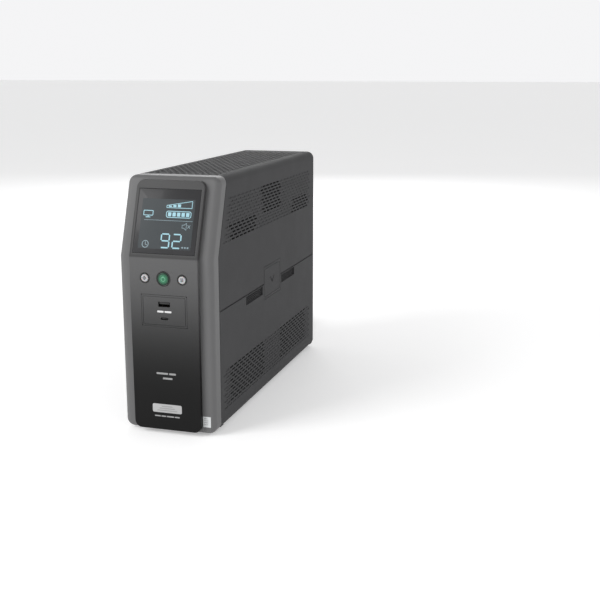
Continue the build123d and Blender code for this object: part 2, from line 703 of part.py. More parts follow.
def make_rear():
    """Rear panel with everything mounted in it."""
    nodes = {}
    panel = outline_y(section(0), PANEL_Y, REAR_Y)
    panel = fillet(panel.faces().sort_by(Axis.Y)[-1].edges(), PANEL_EDGE)
    cutters = []
    live = []
    neutral = []
    ground = []
    for side, name in ((1, "outlet_bank_right"), (-1, "outlet_bank_left")):
        block, clips = make_bank(side)
        nodes[name] = block
        live += clips["live"]
        neutral += clips["neutral"]
        ground += clips["ground"]
        xs = sorted((side * (BANK_X[0] - FIT), side * (BANK_X[1] + FIT)))
        cutters.append(span(xs, (PANEL_Y - WALL, REAR_Y + WALL), (BANK_Z[0] - FIT, BANK_Z[1] + FIT)))
    nodes["live_contacts"] = group(live)
    nodes["neutral_contacts"] = group(neutral)
    nodes["ground_contacts"] = group(ground)

    nodes["network_jacks"] = jack(NETWORK_X, NETWORK_HEIGHTS, -1)
    nodes["data_port_jack"] = jack(DATA_X, (DATA_Z,), -1)
    nodes["jack_contacts"] = group(jack_contacts(NETWORK_X, NETWORK_HEIGHTS, -1)
                                   + jack_contacts(DATA_X, (DATA_Z,), -1))
    for x, heights in ((NETWORK_X, NETWORK_HEIGHTS), (DATA_X, (DATA_Z,))):
        half_x = JACK_SIZE[0] / 2 + FIT
        half_z = JACK_SIZE[1] / 2 + FIT
        cutters.append(span((x - half_x, x + half_x), (PANEL_Y - WALL, REAR_Y + WALL),
                            (min(heights) - half_z, max(heights) + half_z)))

    nodes["coax_connectors"] = group([coax(-COAX_X), coax(COAX_X)])
    cutters += [panel_hole(x, COAX_Z, COAX_BARREL) for x in (-COAX_X, COAX_X)]

    nodes["ground_terminal"] = make_terminal()
    cutters.append(panel_hole(TERMINAL_X, TERMINAL_Z, TERMINAL_SHANK))

    lamp = along_y(LAMP_X, LAMP_Z, PANEL_Y - LAMP_INSIDE, REAR_Y + LAMP_PROUD, LAMP_DIAMETER)
    nodes["fault_lamp"] = fillet(lamp.edges().group_by(Axis.Y)[-1], LAMP_EDGE)
    cutters.append(panel_hole(LAMP_X, LAMP_Z, LAMP_DIAMETER))

    nodes.update(make_breaker())
    cutters.append(panel_hole(0, BREAKER_Z, BREAKER_THREAD))

    places = [(x, z) for x in (-SCREW_X, SCREW_X) for z in SCREW_HEIGHTS]
    seat_y = REAR_Y - SCREW_SINK - SCREW_HEAD_HEIGHT
    cutters += [along_y(x, z, seat_y, REAR_Y + WALL, SCREW_RECESS) for x, z in places]
    cutters += [panel_hole(x, z, SCREW_SHANK) for x, z in places]
    nodes["rear_screws"] = group([rear_screw(x, z, seat_y) for x, z in places])
    nodes["rear_panel"] = panel.cut(*cutters, *cord_notch())
    return nodes


def panel_hole(x, z, diameter):
    """A round cutter right through the rear panel."""
    return along_y(x, z, PANEL_Y - WALL, REAR_Y + WALL, diameter)


def make_terminal():
    """Earth terminal: square washer under a slotted screw."""
    half = TERMINAL_SIZE / 2
    face_y = REAR_Y + TERMINAL_WASHER
    top_y = face_y + TERMINAL_HEAD[1]
    washer = span((TERMINAL_X - half, TERMINAL_X + half), (REAR_Y, face_y),
                  (TERMINAL_Z - half, TERMINAL_Z + half))
    head = along_y(TERMINAL_X, TERMINAL_Z, face_y, top_y, TERMINAL_HEAD[0])
    shank = along_y(TERMINAL_X, TERMINAL_Z, PANEL_Y - WALL, face_y, TERMINAL_SHANK)
    slot = Pos(TERMINAL_X, top_y, TERMINAL_Z) * Box(TERMINAL_SIZE, *TERMINAL_SLOT)
    return washer + head + shank - slot


def rear_screw(x, z, seat_y):
    """A panel screw with a cross recess, its head's underside at seat_y."""
    top_y = seat_y + SCREW_HEAD_HEIGHT
    head = along_y(x, z, seat_y, top_y, SCREW_HEAD)
    shank = along_y(x, z, top_y - SCREW_LENGTH, seat_y, SCREW_SHANK)
    long, deep, thin = CROSS_RECESS
    recess = [Pos(x, top_y, z) * Box(thin, deep, long), Pos(x, top_y, z) * Box(long, deep, thin)]
    return (head + shank).cut(*recess)


def cord_notch():
    """The round-topped notch at the bottom middle that the strain relief sits in."""
    half = RELIEF_FLANGE[0] / 2 + FIT
    ys = (PANEL_Y - RELIEF_FLANGE[1], REAR_Y + WALL)
    return [along_y(0, CORD_EXIT_Z, ys[0], ys[1], 2 * half), span((-half, half), ys, (-WALL, CORD_EXIT_Z))]


def make_breaker():
    """Resettable breaker: threaded body with its ring nut, and the button that pops out."""
    wide, deep, high = BREAKER_BODY
    case = span((-wide / 2, wide / 2), (PANEL_Y - deep, PANEL_Y),
                (BREAKER_Z - high / 2, BREAKER_Z + high / 2))
    thread = along_y(0, BREAKER_Z, PANEL_Y - WALL, REAR_Y + BREAKER_NECK, BREAKER_THREAD)
    ring = along_y(0, BREAKER_Z, REAR_Y, REAR_Y + BREAKER_NUT, BREAKER_RING)
    bore_y = REAR_Y - BREAKER_BORE_DEPTH
    button_y = REAR_Y + BREAKER_BUTTON_PROUD
    bore = along_y(0, BREAKER_Z, bore_y, REAR_Y + REAR_REACH, BREAKER_BUTTON + 2 * MOVING_GAP)
    button = along_y(0, BREAKER_Z, bore_y + MOVING_GAP, button_y, BREAKER_BUTTON)
    return {
        "breaker_body": case + thread + ring - bore,
        "breaker_button": fillet(button.edges().group_by(Axis.Y)[-1], BREAKER_BUTTON_EDGE),
    }


def make_inside():
    """Chassis, batteries, transformer and boards."""
    nodes = {}
    chassis_ys = (SEAM_Y + TONGUE[1] + SHELF_END_GAP, REAR_Y - BANK_DEPTH - WALL)
    floor_z = FOOT_HEIGHT + WALL
    dock_y = (chassis_ys[0] + chassis_ys[1]) / 2
    shelf = span((WALL - SIDE_X, SHELF_EDGE_X), chassis_ys, (SHELF_Z, SHELF_Z + SHELF_THICKNESS))
    divider = span((DIVIDER_X - SHELF_THICKNESS, DIVIDER_X), chassis_ys, (floor_z, SHELF_Z))
    tray = span((DIVIDER_X, SHELF_EDGE_X), chassis_ys, (floor_z, BATTERY_BASE_Z - MOVING_GAP))
    window = dock_block((DIVIDER_X - WALL, DIVIDER_X + WALL), dock_y, 0)
    nodes["inner_chassis"] = shelf + divider + tray - window
    nodes.update(make_batteries(dock_y))
    nodes.update(make_transformer())
    nodes.update(make_electronics())
    return nodes


def dock_block(xs, middle_y, inset):
    """A block around the battery connector's axis, smaller than its window by an inset."""
    half_y = DOCK_SIZE[1] / 2 - inset
    half_z = DOCK_SIZE[2] / 2 - inset
    middle_z = FOOT_HEIGHT + WALL + BATTERY[2] / 2
    return span(xs, (middle_y - half_y, middle_y + half_y), (middle_z - half_z, middle_z + half_z))


def make_batteries(middle_y):
    """Two batteries in line, joined as one cartridge that slides out to the right."""
    nodes = {}
    right = BATTERY_RIGHT_X
    left = right - BATTERY[0]
    top = BATTERY_BASE_Z + BATTERY[2]
    thick, wide, high = TERMINAL_TAB
    tabs = []
    for side, name in ((-1, "battery_front"), (1, "battery_rear")):
        near = middle_y + side * BATTERY_GAP / 2
        ys = sorted((near, near + side * BATTERY[1]))
        case = span((left, right), ys, (BATTERY_BASE_Z, top))
        nodes[name] = fillet(case.edges().filter_by(Axis.Z), BATTERY_CORNER)
        y = near + side * TAB_INSETS[1]
        for x in (left + TAB_INSETS[0], right - TAB_INSETS[0]):
            tabs.append(Pos(x, y, top + high / 2) * Box(thick, wide, high))
    plug_x = left - DOCK_SIZE[0] + MOVING_GAP
    socket_xs = (plug_x - MOVING_GAP - DOCK_SOCKET_DEPTH, plug_x - MOVING_GAP)
    nodes["battery_tabs"] = group(tabs)
    nodes["battery_plug"] = dock_block((plug_x, left), middle_y, DOCK_CLEARANCE)
    nodes["battery_socket"] = dock_block(socket_xs, middle_y, DOCK_CLEARANCE)
    return nodes


def make_transformer():
    """Laminated core, winding and the bracket that holds it to the shelf."""
    wide, long, high = CORE
    base = SHELF_Z + SHELF_THICKNESS
    core_zs = (base + BRACKET_SHEET, base + BRACKET_SHEET + high)
    front = FRONT_Y + CORE_FRONT_DEPTH
    back = front + long
    middle = (front + back) / 2
    leg = high / 4
    core = span((-wide / 2, wide / 2), (front, back), core_zs)
    hole_ys = (front + leg, back - leg)
    hole_zs = (core_zs[0] + leg, core_zs[1] - leg)
    centre = span((-wide / 2, wide / 2), (middle - leg / 2, middle + leg / 2), hole_zs)
    core = core - span((-wide, wide), hole_ys, hole_zs) + centre
    outer_x = wide / 2 + WINDING_BULGE
    winding = span((-outer_x, outer_x), (hole_ys[0] + WINDING_GAP, hole_ys[1] - WINDING_GAP),
                   (hole_zs[0] + WINDING_GAP, hole_zs[1] - WINDING_GAP))
    winding = fillet(winding.edges().filter_by(Axis.Z), WINDING_BULGE / 2)
    bracket_xs = (-wide / 2 - BRACKET_SHEET, wide / 2 + BRACKET_SHEET)
    strap_ys = (back + BRACKET_GAP, back + BRACKET_GAP + BRACKET_SHEET)
    strap = span(bracket_xs, strap_ys, (base, core_zs[1]))
    foot = span(bracket_xs, (front - BRACKET_FLANGE, back + BRACKET_FLANGE), (base, core_zs[0]))
    return {
        "transformer_core": core,
        "transformer_winding": winding - core,
        "transformer_bracket": foot + strap,
    }


def make_electronics():
    """Main board on the left wall with its heat sinks, capacitors, relays, choke and buzzer."""
    ys = (FRONT_Y + BOARD_DEPTHS[0], FRONT_Y + BOARD_DEPTHS[1])
    low_z, high_z = BOARD_HEIGHTS
    face = BOARD_X + BOARD_THICKNESS
    wall_x = WALL - SIDE_X
    posts = [rod_x(wall_x, BOARD_X, y, z, POST_DIAMETER)
             for y in (ys[0] + POST_INSET, ys[1] - POST_INSET)
             for z in (low_z + POST_INSET, high_z - POST_INSET)]
    sink_y = ys[0] + SINK_PLACE[0]
    sinks = [heat_sink(face, sink_y, z) for z in (low_z + SINK_PLACE[1], high_z - SINK_PLACE[1] - SINK[2])]
    cans = []
    for index in range(CANS):
        y = ys[1] - CAN_PLACE[0] - index * (CAN_DIAMETER + CAN_GAP)
        can = rod_x(face, face + CAN_LENGTH, y, high_z - CAN_PLACE[1], CAN_DIAMETER)
        cans.append(fillet(can.edges().group_by(Axis.X)[-1], CAN_EDGE))
    relay_z = low_z + RELAY_PLACE[1]
    relays = [Pos(face + RELAY[0] / 2, ys[1] - RELAY_PLACE[0], relay_z + index * (RELAY[2] + RELAY_GAP))
              * Box(*RELAY) for index in range(RELAYS)]
    choke_y = ys[1] - CHOKE_PLACE[0]
    choke_z = low_z + CHOKE_PLACE[1]
    choke = rod_x(face, face + CHOKE_THICKNESS, choke_y, choke_z, CHOKE_OUTER)
    choke = choke - rod_x(face - WALL, face + CHOKE_THICKNESS + WALL, choke_y, choke_z, CHOKE_INNER)
    buzzer_z = (low_z + high_z) / 2
    return {
        "main_board": span((BOARD_X, face), ys, BOARD_HEIGHTS),
        "board_posts": group(posts),
        "heat_sinks": group(sinks),
        "capacitors": group(cans),
        "relays": group(relays),
        "choke": choke,
        "buzzer": rod_x(face, face + BUZZER_LENGTH, ys[0] + BUZZER_INSET, buzzer_z, BUZZER_DIAMETER),
    }


def rod_x(x_start, x_end, y, z, diameter):
    """A round bar along X."""
    return Pos((x_start + x_end) / 2, y, z) * Rot(0, 90, 0) * Cylinder(diameter / 2, x_end - x_start)


def heat_sink(face, y, z):
    """A finned sink that stands out from the board."""
    ys = (y, y + SINK[1])
    step = (SINK[2] - SINK_FIN) / (SINK_FINS - 1)
    pieces = [span((face, face + SINK_SPINE), ys, (z, z + SINK[2]))]
    for index in range(SINK_FINS):
        fin_z = z + index * step
        pieces.append(span((face + SINK_SPINE - FIT, face + SINK[0]), ys, (fin_z, fin_z + SINK_FIN)))
    return fused(pieces)


def make_feet():
    """Four rubber feet under the housing."""
    reach = SIDE_X - FOOT_INSET_X
    feet = []
    for x in (-reach, reach):
        for y in (FRONT_Y + FOOT_INSET_FRONT, REAR_Y - FOOT_INSET_REAR):
            foot = Pos(x, y, FOOT_HEIGHT / 2) * Cylinder(FOOT_DIAMETER / 2, FOOT_HEIGHT)
            feet.append(chamfer(foot.edges().group_by(Axis.Z)[0], FOOT_EDGE))
    return group(feet)


def rounded_path(points):
    """Straight runs joined by tangent arcs, each as large as its two runs allow."""
    vectors = [Vector(*point) for point in points]
    radii = []
    for before, here, after in zip(vectors, vectors[1:], vectors[2:]):
        run_in = here - before
        run_out = after - here
        half_turn = radians(run_in.get_angle(run_out)) / 2
        radii.append(ARC_SHARE * min(run_in.length, run_out.length) / tan(half_turn))
    print("arc radii", [round(radius, 1) for radius in radii])
    return FilletPolyline(*points, radius=radii)


def tube(points):
    """A round cord along a route."""
    path = rounded_path(points)
    start = Plane(origin=path @ 0, z_dir=path % 0)
    solid = sweep(start * Circle(CORD_DIAMETER / 2), path=path)
    expected = pi * CORD_DIAMETER ** 2 / 4 * path.length
    print("cord run", round(path.length, 1), "volume ratio", round(solid.volume / expected, 4))
    return solid, path.length


def make_cord():
    """Strain relief, cord, coil with its tie, and plug."""
    radius = CORD_DIAMETER / 2
    exit_y = REAR_Y + RELIEF_LENGTH
    straight_y = exit_y + LEAD_STRAIGHT
    floor_y = straight_y + LEAD_DROP
    coil_y = floor_y + LEAD_END
    outer_turn = COIL_MIDDLE_RADIUS + radius
    coil_x = COIL_SHIFT - outer_turn
    top_z = radius + (COIL_HIGH - 1) * CORD_DIAMETER
    tail_x = coil_x - outer_turn
    plug_z = PLUG_BODY[2] / 2
    lead = [
        (0, exit_y, CORD_EXIT_Z),
        (0, straight_y, CORD_EXIT_Z),
        (0.3, floor_y, radius),
        (COIL_SHIFT, coil_y, radius),
    ]
    tail = [
        (tail_x, coil_y, top_z),
        (tail_x - 0.5, coil_y - 24, top_z - 1.5),
        (tail_x - 1.5, coil_y - 46, plug_z + 1.5),
        (tail_x - 2, coil_y - 68, plug_z),
    ]
    lead_tube, lead_length = tube(lead)
    tail_tube, tail_length = tube(tail)
    coiled = 2 * pi * COIL_MIDDLE_RADIUS * COIL_TURNS
    print("cord length", round(lead_length + tail_length + coiled, 1), "wanted", CORD_LENGTH)
    return {
        "strain_relief": make_relief(),
        "power_cord": lead_tube,
        "cord_coil": coil_ring(coil_x, coil_y),
        "coil_tie": coil_tie(coil_x, coil_y),
        "cord_tail": tail_tube,
        **make_plug(tail[-1][0], tail[-1][1]),
    }


def coil_ring(x, y):
    """The outer shape of the coiled cord."""
    half_wide = COIL_WIDE * CORD_DIAMETER / 2
    high = COIL_HIGH * CORD_DIAMETER
    outer = Cylinder(COIL_MIDDLE_RADIUS + half_wide, high)
    return Pos(x, y, high / 2) * (outer - Cylinder(COIL_MIDDLE_RADIUS - half_wide, 2 * high))


def coil_tie(x, y):
    """The strap around the coil at its far side."""
    wide = COIL_WIDE * CORD_DIAMETER
    high = COIL_HIGH * CORD_DIAMETER
    strap = Pos(0, 0, TIE_SHEET / 2) * Box(TIE_WIDTH, wide + 2 * TIE_SHEET, high + TIE_SHEET)
    strap = strap - Box(2 * TIE_WIDTH, wide, high - 2 * TIE_SHEET)
    return Pos(x, y + COIL_MIDDLE_RADIUS, high / 2) * strap


def make_relief():
    """Flange in the notch and a ribbed, tapered sleeve around the cord's first stretch."""
    start = REAR_Y + RELIEF_LIP
    flange = along_y(0, CORD_EXIT_Z, PANEL_Y - RELIEF_FLANGE[1] + FIT, start, RELIEF_FLANGE[0])
    step = (RELIEF_LENGTH - RELIEF_LIP) / (2 * RELIEF_RIBS)
    pieces = [flange]
    for index in range(RELIEF_RIBS):
        share = index / (RELIEF_RIBS - 1)
        wide = RELIEF_BASE + (RELIEF_TIP - RELIEF_BASE) * share
        rib = start + (2 * index + 1) * step
        pieces.append(along_y(0, CORD_EXIT_Z, rib - step, rib, wide - RELIEF_GROOVE))
        pieces.append(along_y(0, CORD_EXIT_Z, rib, rib + step, wide))
    return fused(pieces)


def make_plug(x, y):
    """Three-pin plug lying on the surface, its blades toward the front."""
    wide, long, high = PLUG_BODY
    z = high / 2
    shoulder = y - PLUG_NECK[1]
    face = shoulder - long
    body = span((x - wide / 2, x + wide / 2), (face, shoulder), (0, high))
    body = fillet(body.edges().filter_by(Axis.Y), PLUG_CORNER)
    neck = along_y(x, z, shoulder, y, PLUG_NECK[0])
    thick, reach, tall = BLADE_SIZE
    blade_z = z - BLADE_DROP
    blades = [Pos(x + side * BLADE_SPACING / 2, face - reach / 2, blade_z) * Box(thick, reach, tall)
              for side in (-1, 1)]
    pin = along_y(x, z + PIN_RISE, face - PIN_LENGTH, face, PIN_DIAMETER)
    return {
        "plug_body": body + neck,
        "plug_blades": group(blades),
        "plug_ground_pin": fillet(pin.edges().group_by(Axis.Y)[0], PIN_POINT),
    }


def main():
    nodes = {}
    nodes.update(make_shells())
    nodes.update(make_front())
    nodes.update(make_rear())
    nodes.update(make_inside())
    nodes["rubber_feet"] = make_feet()
    nodes.update(make_cord())
    os.makedirs("parts", exist_ok=True)
    for name, shape in nodes.items():
        export_step(shape, f"parts/{name}.step")
    print(len(nodes), "nodes")


main()
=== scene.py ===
from math import cos, pi, radians, sin, tan

import bpy
from mathutils import Matrix, Vector


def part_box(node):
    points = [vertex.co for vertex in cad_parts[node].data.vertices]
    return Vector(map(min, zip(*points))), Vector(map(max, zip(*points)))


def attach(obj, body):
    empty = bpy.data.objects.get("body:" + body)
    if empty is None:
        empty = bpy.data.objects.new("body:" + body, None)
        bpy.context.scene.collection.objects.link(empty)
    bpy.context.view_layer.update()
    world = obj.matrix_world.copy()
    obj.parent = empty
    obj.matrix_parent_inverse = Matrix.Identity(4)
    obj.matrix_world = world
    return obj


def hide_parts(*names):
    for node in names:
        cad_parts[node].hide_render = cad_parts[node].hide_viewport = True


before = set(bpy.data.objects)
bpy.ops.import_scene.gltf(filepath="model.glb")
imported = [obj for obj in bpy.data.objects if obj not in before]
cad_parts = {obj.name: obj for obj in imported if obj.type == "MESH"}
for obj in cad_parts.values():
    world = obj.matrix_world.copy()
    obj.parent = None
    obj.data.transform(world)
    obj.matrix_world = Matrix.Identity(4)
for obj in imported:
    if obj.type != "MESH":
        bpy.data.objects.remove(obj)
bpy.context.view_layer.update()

# Uninterruptible power supply, tower form. Pieces are modelled in millimetres and finished in metres.
# +X is to the right of a person who faces the front, +Y runs back to the sockets, +Z is up.
MM = 0.001

# ---- Body ----
KINK_Z = 182.0
LEAN = radians(19.5)
FRONT_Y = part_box("front_panel")[0].y / MM
REAR_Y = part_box("rear_panel")[1].y / MM
BEZEL_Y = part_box("front_bezel")[0].y / MM
HALF_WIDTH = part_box("right_cover")[1].x / MM
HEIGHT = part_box("main_housing")[1].z / MM
BEZEL_DEPTH = 22.0
COVER_TOP_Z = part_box("battery_cover")[1].z / MM

# ---- Vent slots ----
SLOT_LENGTH = 9.6
SLOT_WIDTH = 1.9
SLOT_PITCH = 12.0
ROW_PITCH = 3.55
SLOT_TO_SEAM = 9.0
FIELD_END_DEPTH = 344.0
BLIND_DEPTH = 0.5
SEAM_WIDTH = 0.8
SEAM_DEPTH = 1.1
UPPER_ROW_Z, UPPER_ROWS = 194.5, 13
LOWER_ROW_Z, LOWER_ROWS = 21.5, 12
TOP_ROWS = 21
UPPER_OPEN = ((57.0, 136.0, 192.5, 211.0), (156.0, 223.0, 208.0, 240.0), (267.0, 332.0, 192.5, 211.0))
LOWER_OPEN = ((53.0, 156.0, 24.0, 64.0), (219.0, 319.0, 24.0, 64.0))
TOP_OPEN = ((150.0, 236.0, -30.0, 30.0),)

# ---- Cord ----
CORD_DIAMETER = 8.6
CORD_EXIT = (0.0, 205.3, 11.0)
LEAD = (CORD_EXIT, (0.0, 221.8, 11.0), (0.3, 239.8, 4.3))
COIL_CENTRE = (-51.75, 256.3)
COIL_MIDDLE_RADIUS = 49.45
COIL_TURNS = 5.5
POINTS_PER_TURN = 16
TAIL = ((-106.0, 232.3, 20.0), (-107.0, 210.3, 14.0), (-107.5, 188.3, 12.5))

# ---- Buttons, display and front sockets ----
BUTTON_Z = 162.0
BUTTON_PITCH = 20.0
WINDOW = (66.0, 65.0, 1.5)
WINDOW_UP = 37.5
SYMBOL_SHIFT = 1.65
SYMBOL_THICK = 0.06
USB_PLATE_Z = 129.3
SEGMENT_AREA = (56.4, 50.2, 34.9)
DIGIT_SIZE = (8.5, 13.6)
DIGIT_BASE = 11.4
SEGMENT_WIDTH = 1.35
# Buttons: name, diameter, finish.
BUTTONS = (("mute", 7.5, "button_light"), ("power", 12.0, "green_rim"), ("menu", 7.5, "button_light"))
SOCKET_PLATE = (48.8, 32.1, 2.0)
# Sockets: node, height on their plate, opening, depth, corner of the hole and of the shell, tongue, its rise.
PORTS = (("usb_a_port", 6.7, (13.2, 5.7), 14.0, 0.5, 0.6, (10.8, 1.9), 1.1),
         ("usb_c_port", -7.8, (9.0, 3.3), 8.0, 1.6, 1.6, (6.6, 0.8), 0.0))
PRINT = 0.08

# ---- Rear ----
SCREW_X = 40.6
SCREW_HEIGHTS = (251.9, 170.8, 8.8)
COAX_X = 10.4
COAX_Z = 196.5
TERMINAL_PLACE = (37.5, 192.6)
LAMP_PLACE = (38.3, 182.7)
BREAKER_Z = 141.9
NUT_ACROSS_FLATS = 11.6
THREAD_TURNS = 10
LINE_WIDTH = 1.15
HOOK_WIDTH = 1.0
HOOK_RISE = 1.6
# Printed lines: across, top, bottom, reach of the hook at the top and at the bottom.
REAR_LINES = (
    (-12.2, 168.0, 11.0, -2.2, -2.2), (-47.0, 168.0, 105.4, 2.2, 0.0), (-47.0, 76.7, 11.0, 0.0, 2.2),
    (11.7, 168.0, 142.7, 2.2, 2.2), (11.7, 139.9, 11.0, 2.2, 2.2), (46.5, 139.9, 82.8, -1.9, 0.0),
    (46.5, 69.6, 11.0, 0.0, -1.9),
)
# Printed bars: left end, height on the panel, lengths, thickness.
REAR_WORDS = (
    (-40.6, 243.9, (11.8,), 2.4), (27.6, 243.9, (6.0, 7.0), 2.4), (-16.4, 205.2, (6.4, 3.4), 2.0),
    (3.8, 205.2, (6.4, 5.0), 2.0), (17.8, 193.0, (7.0, 5.2), 1.8), (17.2, 184.0, (9.8,), 1.8),
    (17.2, 181.0, (8.0, 5.4), 1.8), (-5.4, 160.4, (10.4,), 2.0), (-6.4, 156.4, (12.4,), 2.0),
    (15.8, 8.9, (5.4, 4.6), 1.2), (16.2, 6.6, (4.0, 5.8), 1.2), (-47.0, 230.4, (2.6,), 1.4),
    (-47.4, 215.0, (3.8,), 1.4),
)
UPRIGHT_WORDS = ((47.0, 144.8, (11.0, 10.4)), (-47.2, 79.0, (10.6, 10.4)), (46.6, 71.8, (9.2,)))
ARROWS = ((-45.8, 234.5), (-46.2, 219.2), (-11.4, 209.9), (8.4, 209.9))

# ---- Strain relief and plug ----
RELIEF_RIBS = 5
RELIEF_LENGTH = 29.0
PLUG_LENGTH = 52.0
PLUG_SIZE = 25.0
BLADE_SPREAD = 6.35

# ---- Camera ----
CAMERA_PLACE = (0.4040, -1.0598, 0.3630)
CAMERA_DOWN = radians(13.13)
CAMERA_TURN = radians(16.78)
CAMERA_LENS = 59.28


# ======== Materials ========

class Value:
    """A shader socket whose arithmetic adds Math nodes."""

    def __init__(self, look, socket):
        self.look = look
        self.socket = socket

    def maths(self, operation, first, second=0.0):
        return self.look.node("Math", {"operation": operation}, {0: first, 1: second})

    def __add__(self, other):
        return self.maths("ADD", self, other)

    __radd__ = __add__

    def __sub__(self, other):
        return self.maths("SUBTRACT", self, other)

    def __rsub__(self, other):
        return self.maths("SUBTRACT", other, self)

    def __mul__(self, other):
        return self.maths("MULTIPLY", self, other)

    __rmul__ = __mul__

    def __pow__(self, other):
        return self.maths("POWER", self, other)

    def between(self, low, high):
        """0 below low, 1 above high, and smooth between them."""
        settings = {"interpolation_type": "SMOOTHSTEP"}
        return self.look.node("MapRange", settings, {0: self, 1: low, 2: high})


class Look:
    """A material under construction, on one Principled shader."""

    def __init__(self, name, **constants):
        self.material = bpy.data.materials.new(name)
        self.material.use_nodes = True
        self.tree = self.material.node_tree
        self.shader = self.tree.nodes["Principled BSDF"]
        for socket, value in constants.items():
            self.shader.inputs[socket.replace("_", " ")].default_value = value

    def node(self, kind, settings=None, feeds=None, output=0):
        """Adds a node: its settings first, then the values or links of its sockets."""
        made = self.tree.nodes.new("ShaderNode" + kind)
        for name, value in (settings or {}).items():
            setattr(made, name, value)
        for key, value in (feeds or {}).items():
            if isinstance(value, Value):
                self.tree.links.new(value.socket, made.inputs[key])
            else:
                made.inputs[key].default_value = value
        return Value(self, made.outputs[output])

    def place(self):
        """Object coordinates, in metres."""
        return self.node("TexCoord", output=3)

    def part(self, vector, axis):
        """One coordinate of a vector: 0, 1 or 2."""
        return self.node("SeparateXYZ", {}, {0: vector}, output=axis)

    def noise(self, place, scale, detail=3.0, rough=0.5):
        feeds = {"Vector": place, "Scale": scale, "Detail": detail, "Roughness": rough}
        return self.node("TexNoise", {}, feeds)

    def ping_pong(self, value, step):
        """Up and down again between 0 and a step, over and over."""
        return self.node("Math", {"operation": "PINGPONG"}, {0: value, 1: step})

    def stretched(self, place, scale):
        """The place with each axis scaled."""
        return self.node("Mapping", {}, {"Vector": place, "Scale": scale})

    def mixed(self, factor, low, high):
        """From one colour to another."""
        return self.node("Mix", {"data_type": "RGBA"}, {0: factor, 6: low, 7: high}, output=2)

    def give(self, socket, value):
        self.tree.links.new(value.socket, self.shader.inputs[socket])

    def bump(self, height, strength, distance):
        feeds = {"Height": height, "Strength": strength, "Distance": distance}
        self.give("Normal", self.node("Bump", {}, feeds))


def grey(level, blue=1.0):
    return (level, level, level * blue, 1.0)


def shade(colour, share):
    return (colour[0] * share, colour[1] * share, colour[2] * share, 1.0)


def moulded(name, colour, roughness, grain=1500.0, depth=0.00004, mottle=0.10, **constants):
    """Moulded plastic: fine spark-eroded grain, slow colour drift and patches of handling."""
    look = Look(name, **constants)
    place = look.place()
    drift = look.noise(place, 9.0)
    handling = look.noise(place, 34.0, 5.0, 0.6)
    look.give("Base Color", look.mixed(drift, shade(colour, 1 - mottle), shade(colour, 1 + mottle)))
    look.give("Roughness", roughness + (handling - 0.5) * 0.16)
    look.bump(look.noise(place, grain, 2.0, 0.6), 0.55, depth)
    return look.material


def fascia_painted_reflection():
    """Semi-gloss black moulding with a painted reflection: black at the foot, growing to grey at the kink, and a
    darker grey on the slope.
    """
    look = Look("fascia_gloss_painted_reflection", Specular_IOR_Level=0.16)
    place = look.place()
    height = look.part(place, 2)
    rise = height.between(0.0, 0.182)
    slope = height.between(0.1815, 0.1835)
    drift = look.noise(place, 11.0)
    # Painted reflection: the grey toward the kink and the grey of the slope stand for studio light mirrored in
    # the black face.
    lower = look.mixed(rise ** 2.4, grey(0.003), grey(0.105, 1.01))
    face = look.mixed(slope, lower, grey(0.056, 1.01))
    look.give("Base Color", look.mixed(drift * 0.1, face, grey(0.03)))
    smears = look.noise(look.stretched(place, (1.0, 1.0, 0.35)), 60.0, 5.0, 0.65)
    look.give("Roughness", 0.26 + smears * 0.14)
    look.bump(look.noise(place, 1300.0, 2.0), 0.3, 0.00002)
    return look.material


def metal(name, colour, roughness, brushed=(1.0, 1.0, 1.0), scale=900.0):
    """Plated or bare metal with fine marks along one way, and a little tarnish."""
    look = Look(name, Metallic=1.0)
    place = look.place()
    marks = look.noise(look.stretched(place, brushed), scale, 4.0, 0.6)
    tarnish = look.noise(place, 70.0, 4.0, 0.6).between(0.45, 0.75)
    look.give("Base Color", look.mixed(tarnish * 0.5, colour, shade(colour, 0.72)))
    look.give("Roughness", roughness + marks * 0.12 + tarnish * 0.08)
    look.bump(marks, 0.4, 0.00002)
    return look.material


def glowing(name, colour, strength):
    """A lit segment of the display, uneven by a few percent."""
    look = Look(name, Roughness=0.35, Emission_Strength=strength)
    cells = look.noise(look.place(), 120.0, 2.0)
    look.give("Emission Color", look.mixed(cells, shade(colour, 0.9), colour))
    look.give("Base Color", look.mixed(cells, shade(colour, 0.3), shade(colour, 0.35)))
    return look.material


def smoked_glass():
    """The display's window: black, polished, with a few wiping smears."""
    look = Look("smoked_window", Coat_Roughness=0.08, Specular_IOR_Level=0.16)
    place = look.place()
    smears = look.noise(look.stretched(place, (1.0, 0.4, 0.4)), 45.0, 5.0, 0.6)
    look.give("Base Color", look.mixed(smears, grey(0.030, 1.05), grey(0.038, 1.05)))
    look.give("Roughness", 0.24 + smears * 0.14)
    look.give("Coat Weight", 0.05 + smears * 0.06)
    return look.material


def circuit(name):
    """Solder resist with tracks in two directions and tinned pads."""
    look = Look(name, Specular_IOR_Level=0.6)
    place = look.place()
    along = look.part(place, 1)
    up = look.part(place, 2)
    weave = up * 1000.0 + look.noise(place, 60.0) * 4.0
    tracks = look.ping_pong(weave, 1.2).between(0.55, 0.75)
    pads = look.node("TexVoronoi", {}, {"Vector": place, "Scale": 190.0})
    tinned = 1.0 - pads.between(0.10, 0.14)
    bands = look.ping_pong(along * 1000.0, 9.0).between(6.0, 6.5)
    resist = look.mixed(tracks * bands, (0.008, 0.085, 0.030, 1.0), (0.014, 0.150, 0.050, 1.0))
    look.give("Base Color", look.mixed(tinned, resist, grey(0.55)))
    look.give("Metallic", tinned * 0.9)
    look.give("Roughness", 0.45 - tinned * 0.15)
    look.bump(tracks + tinned, 0.3, 0.00006)
    return look.material


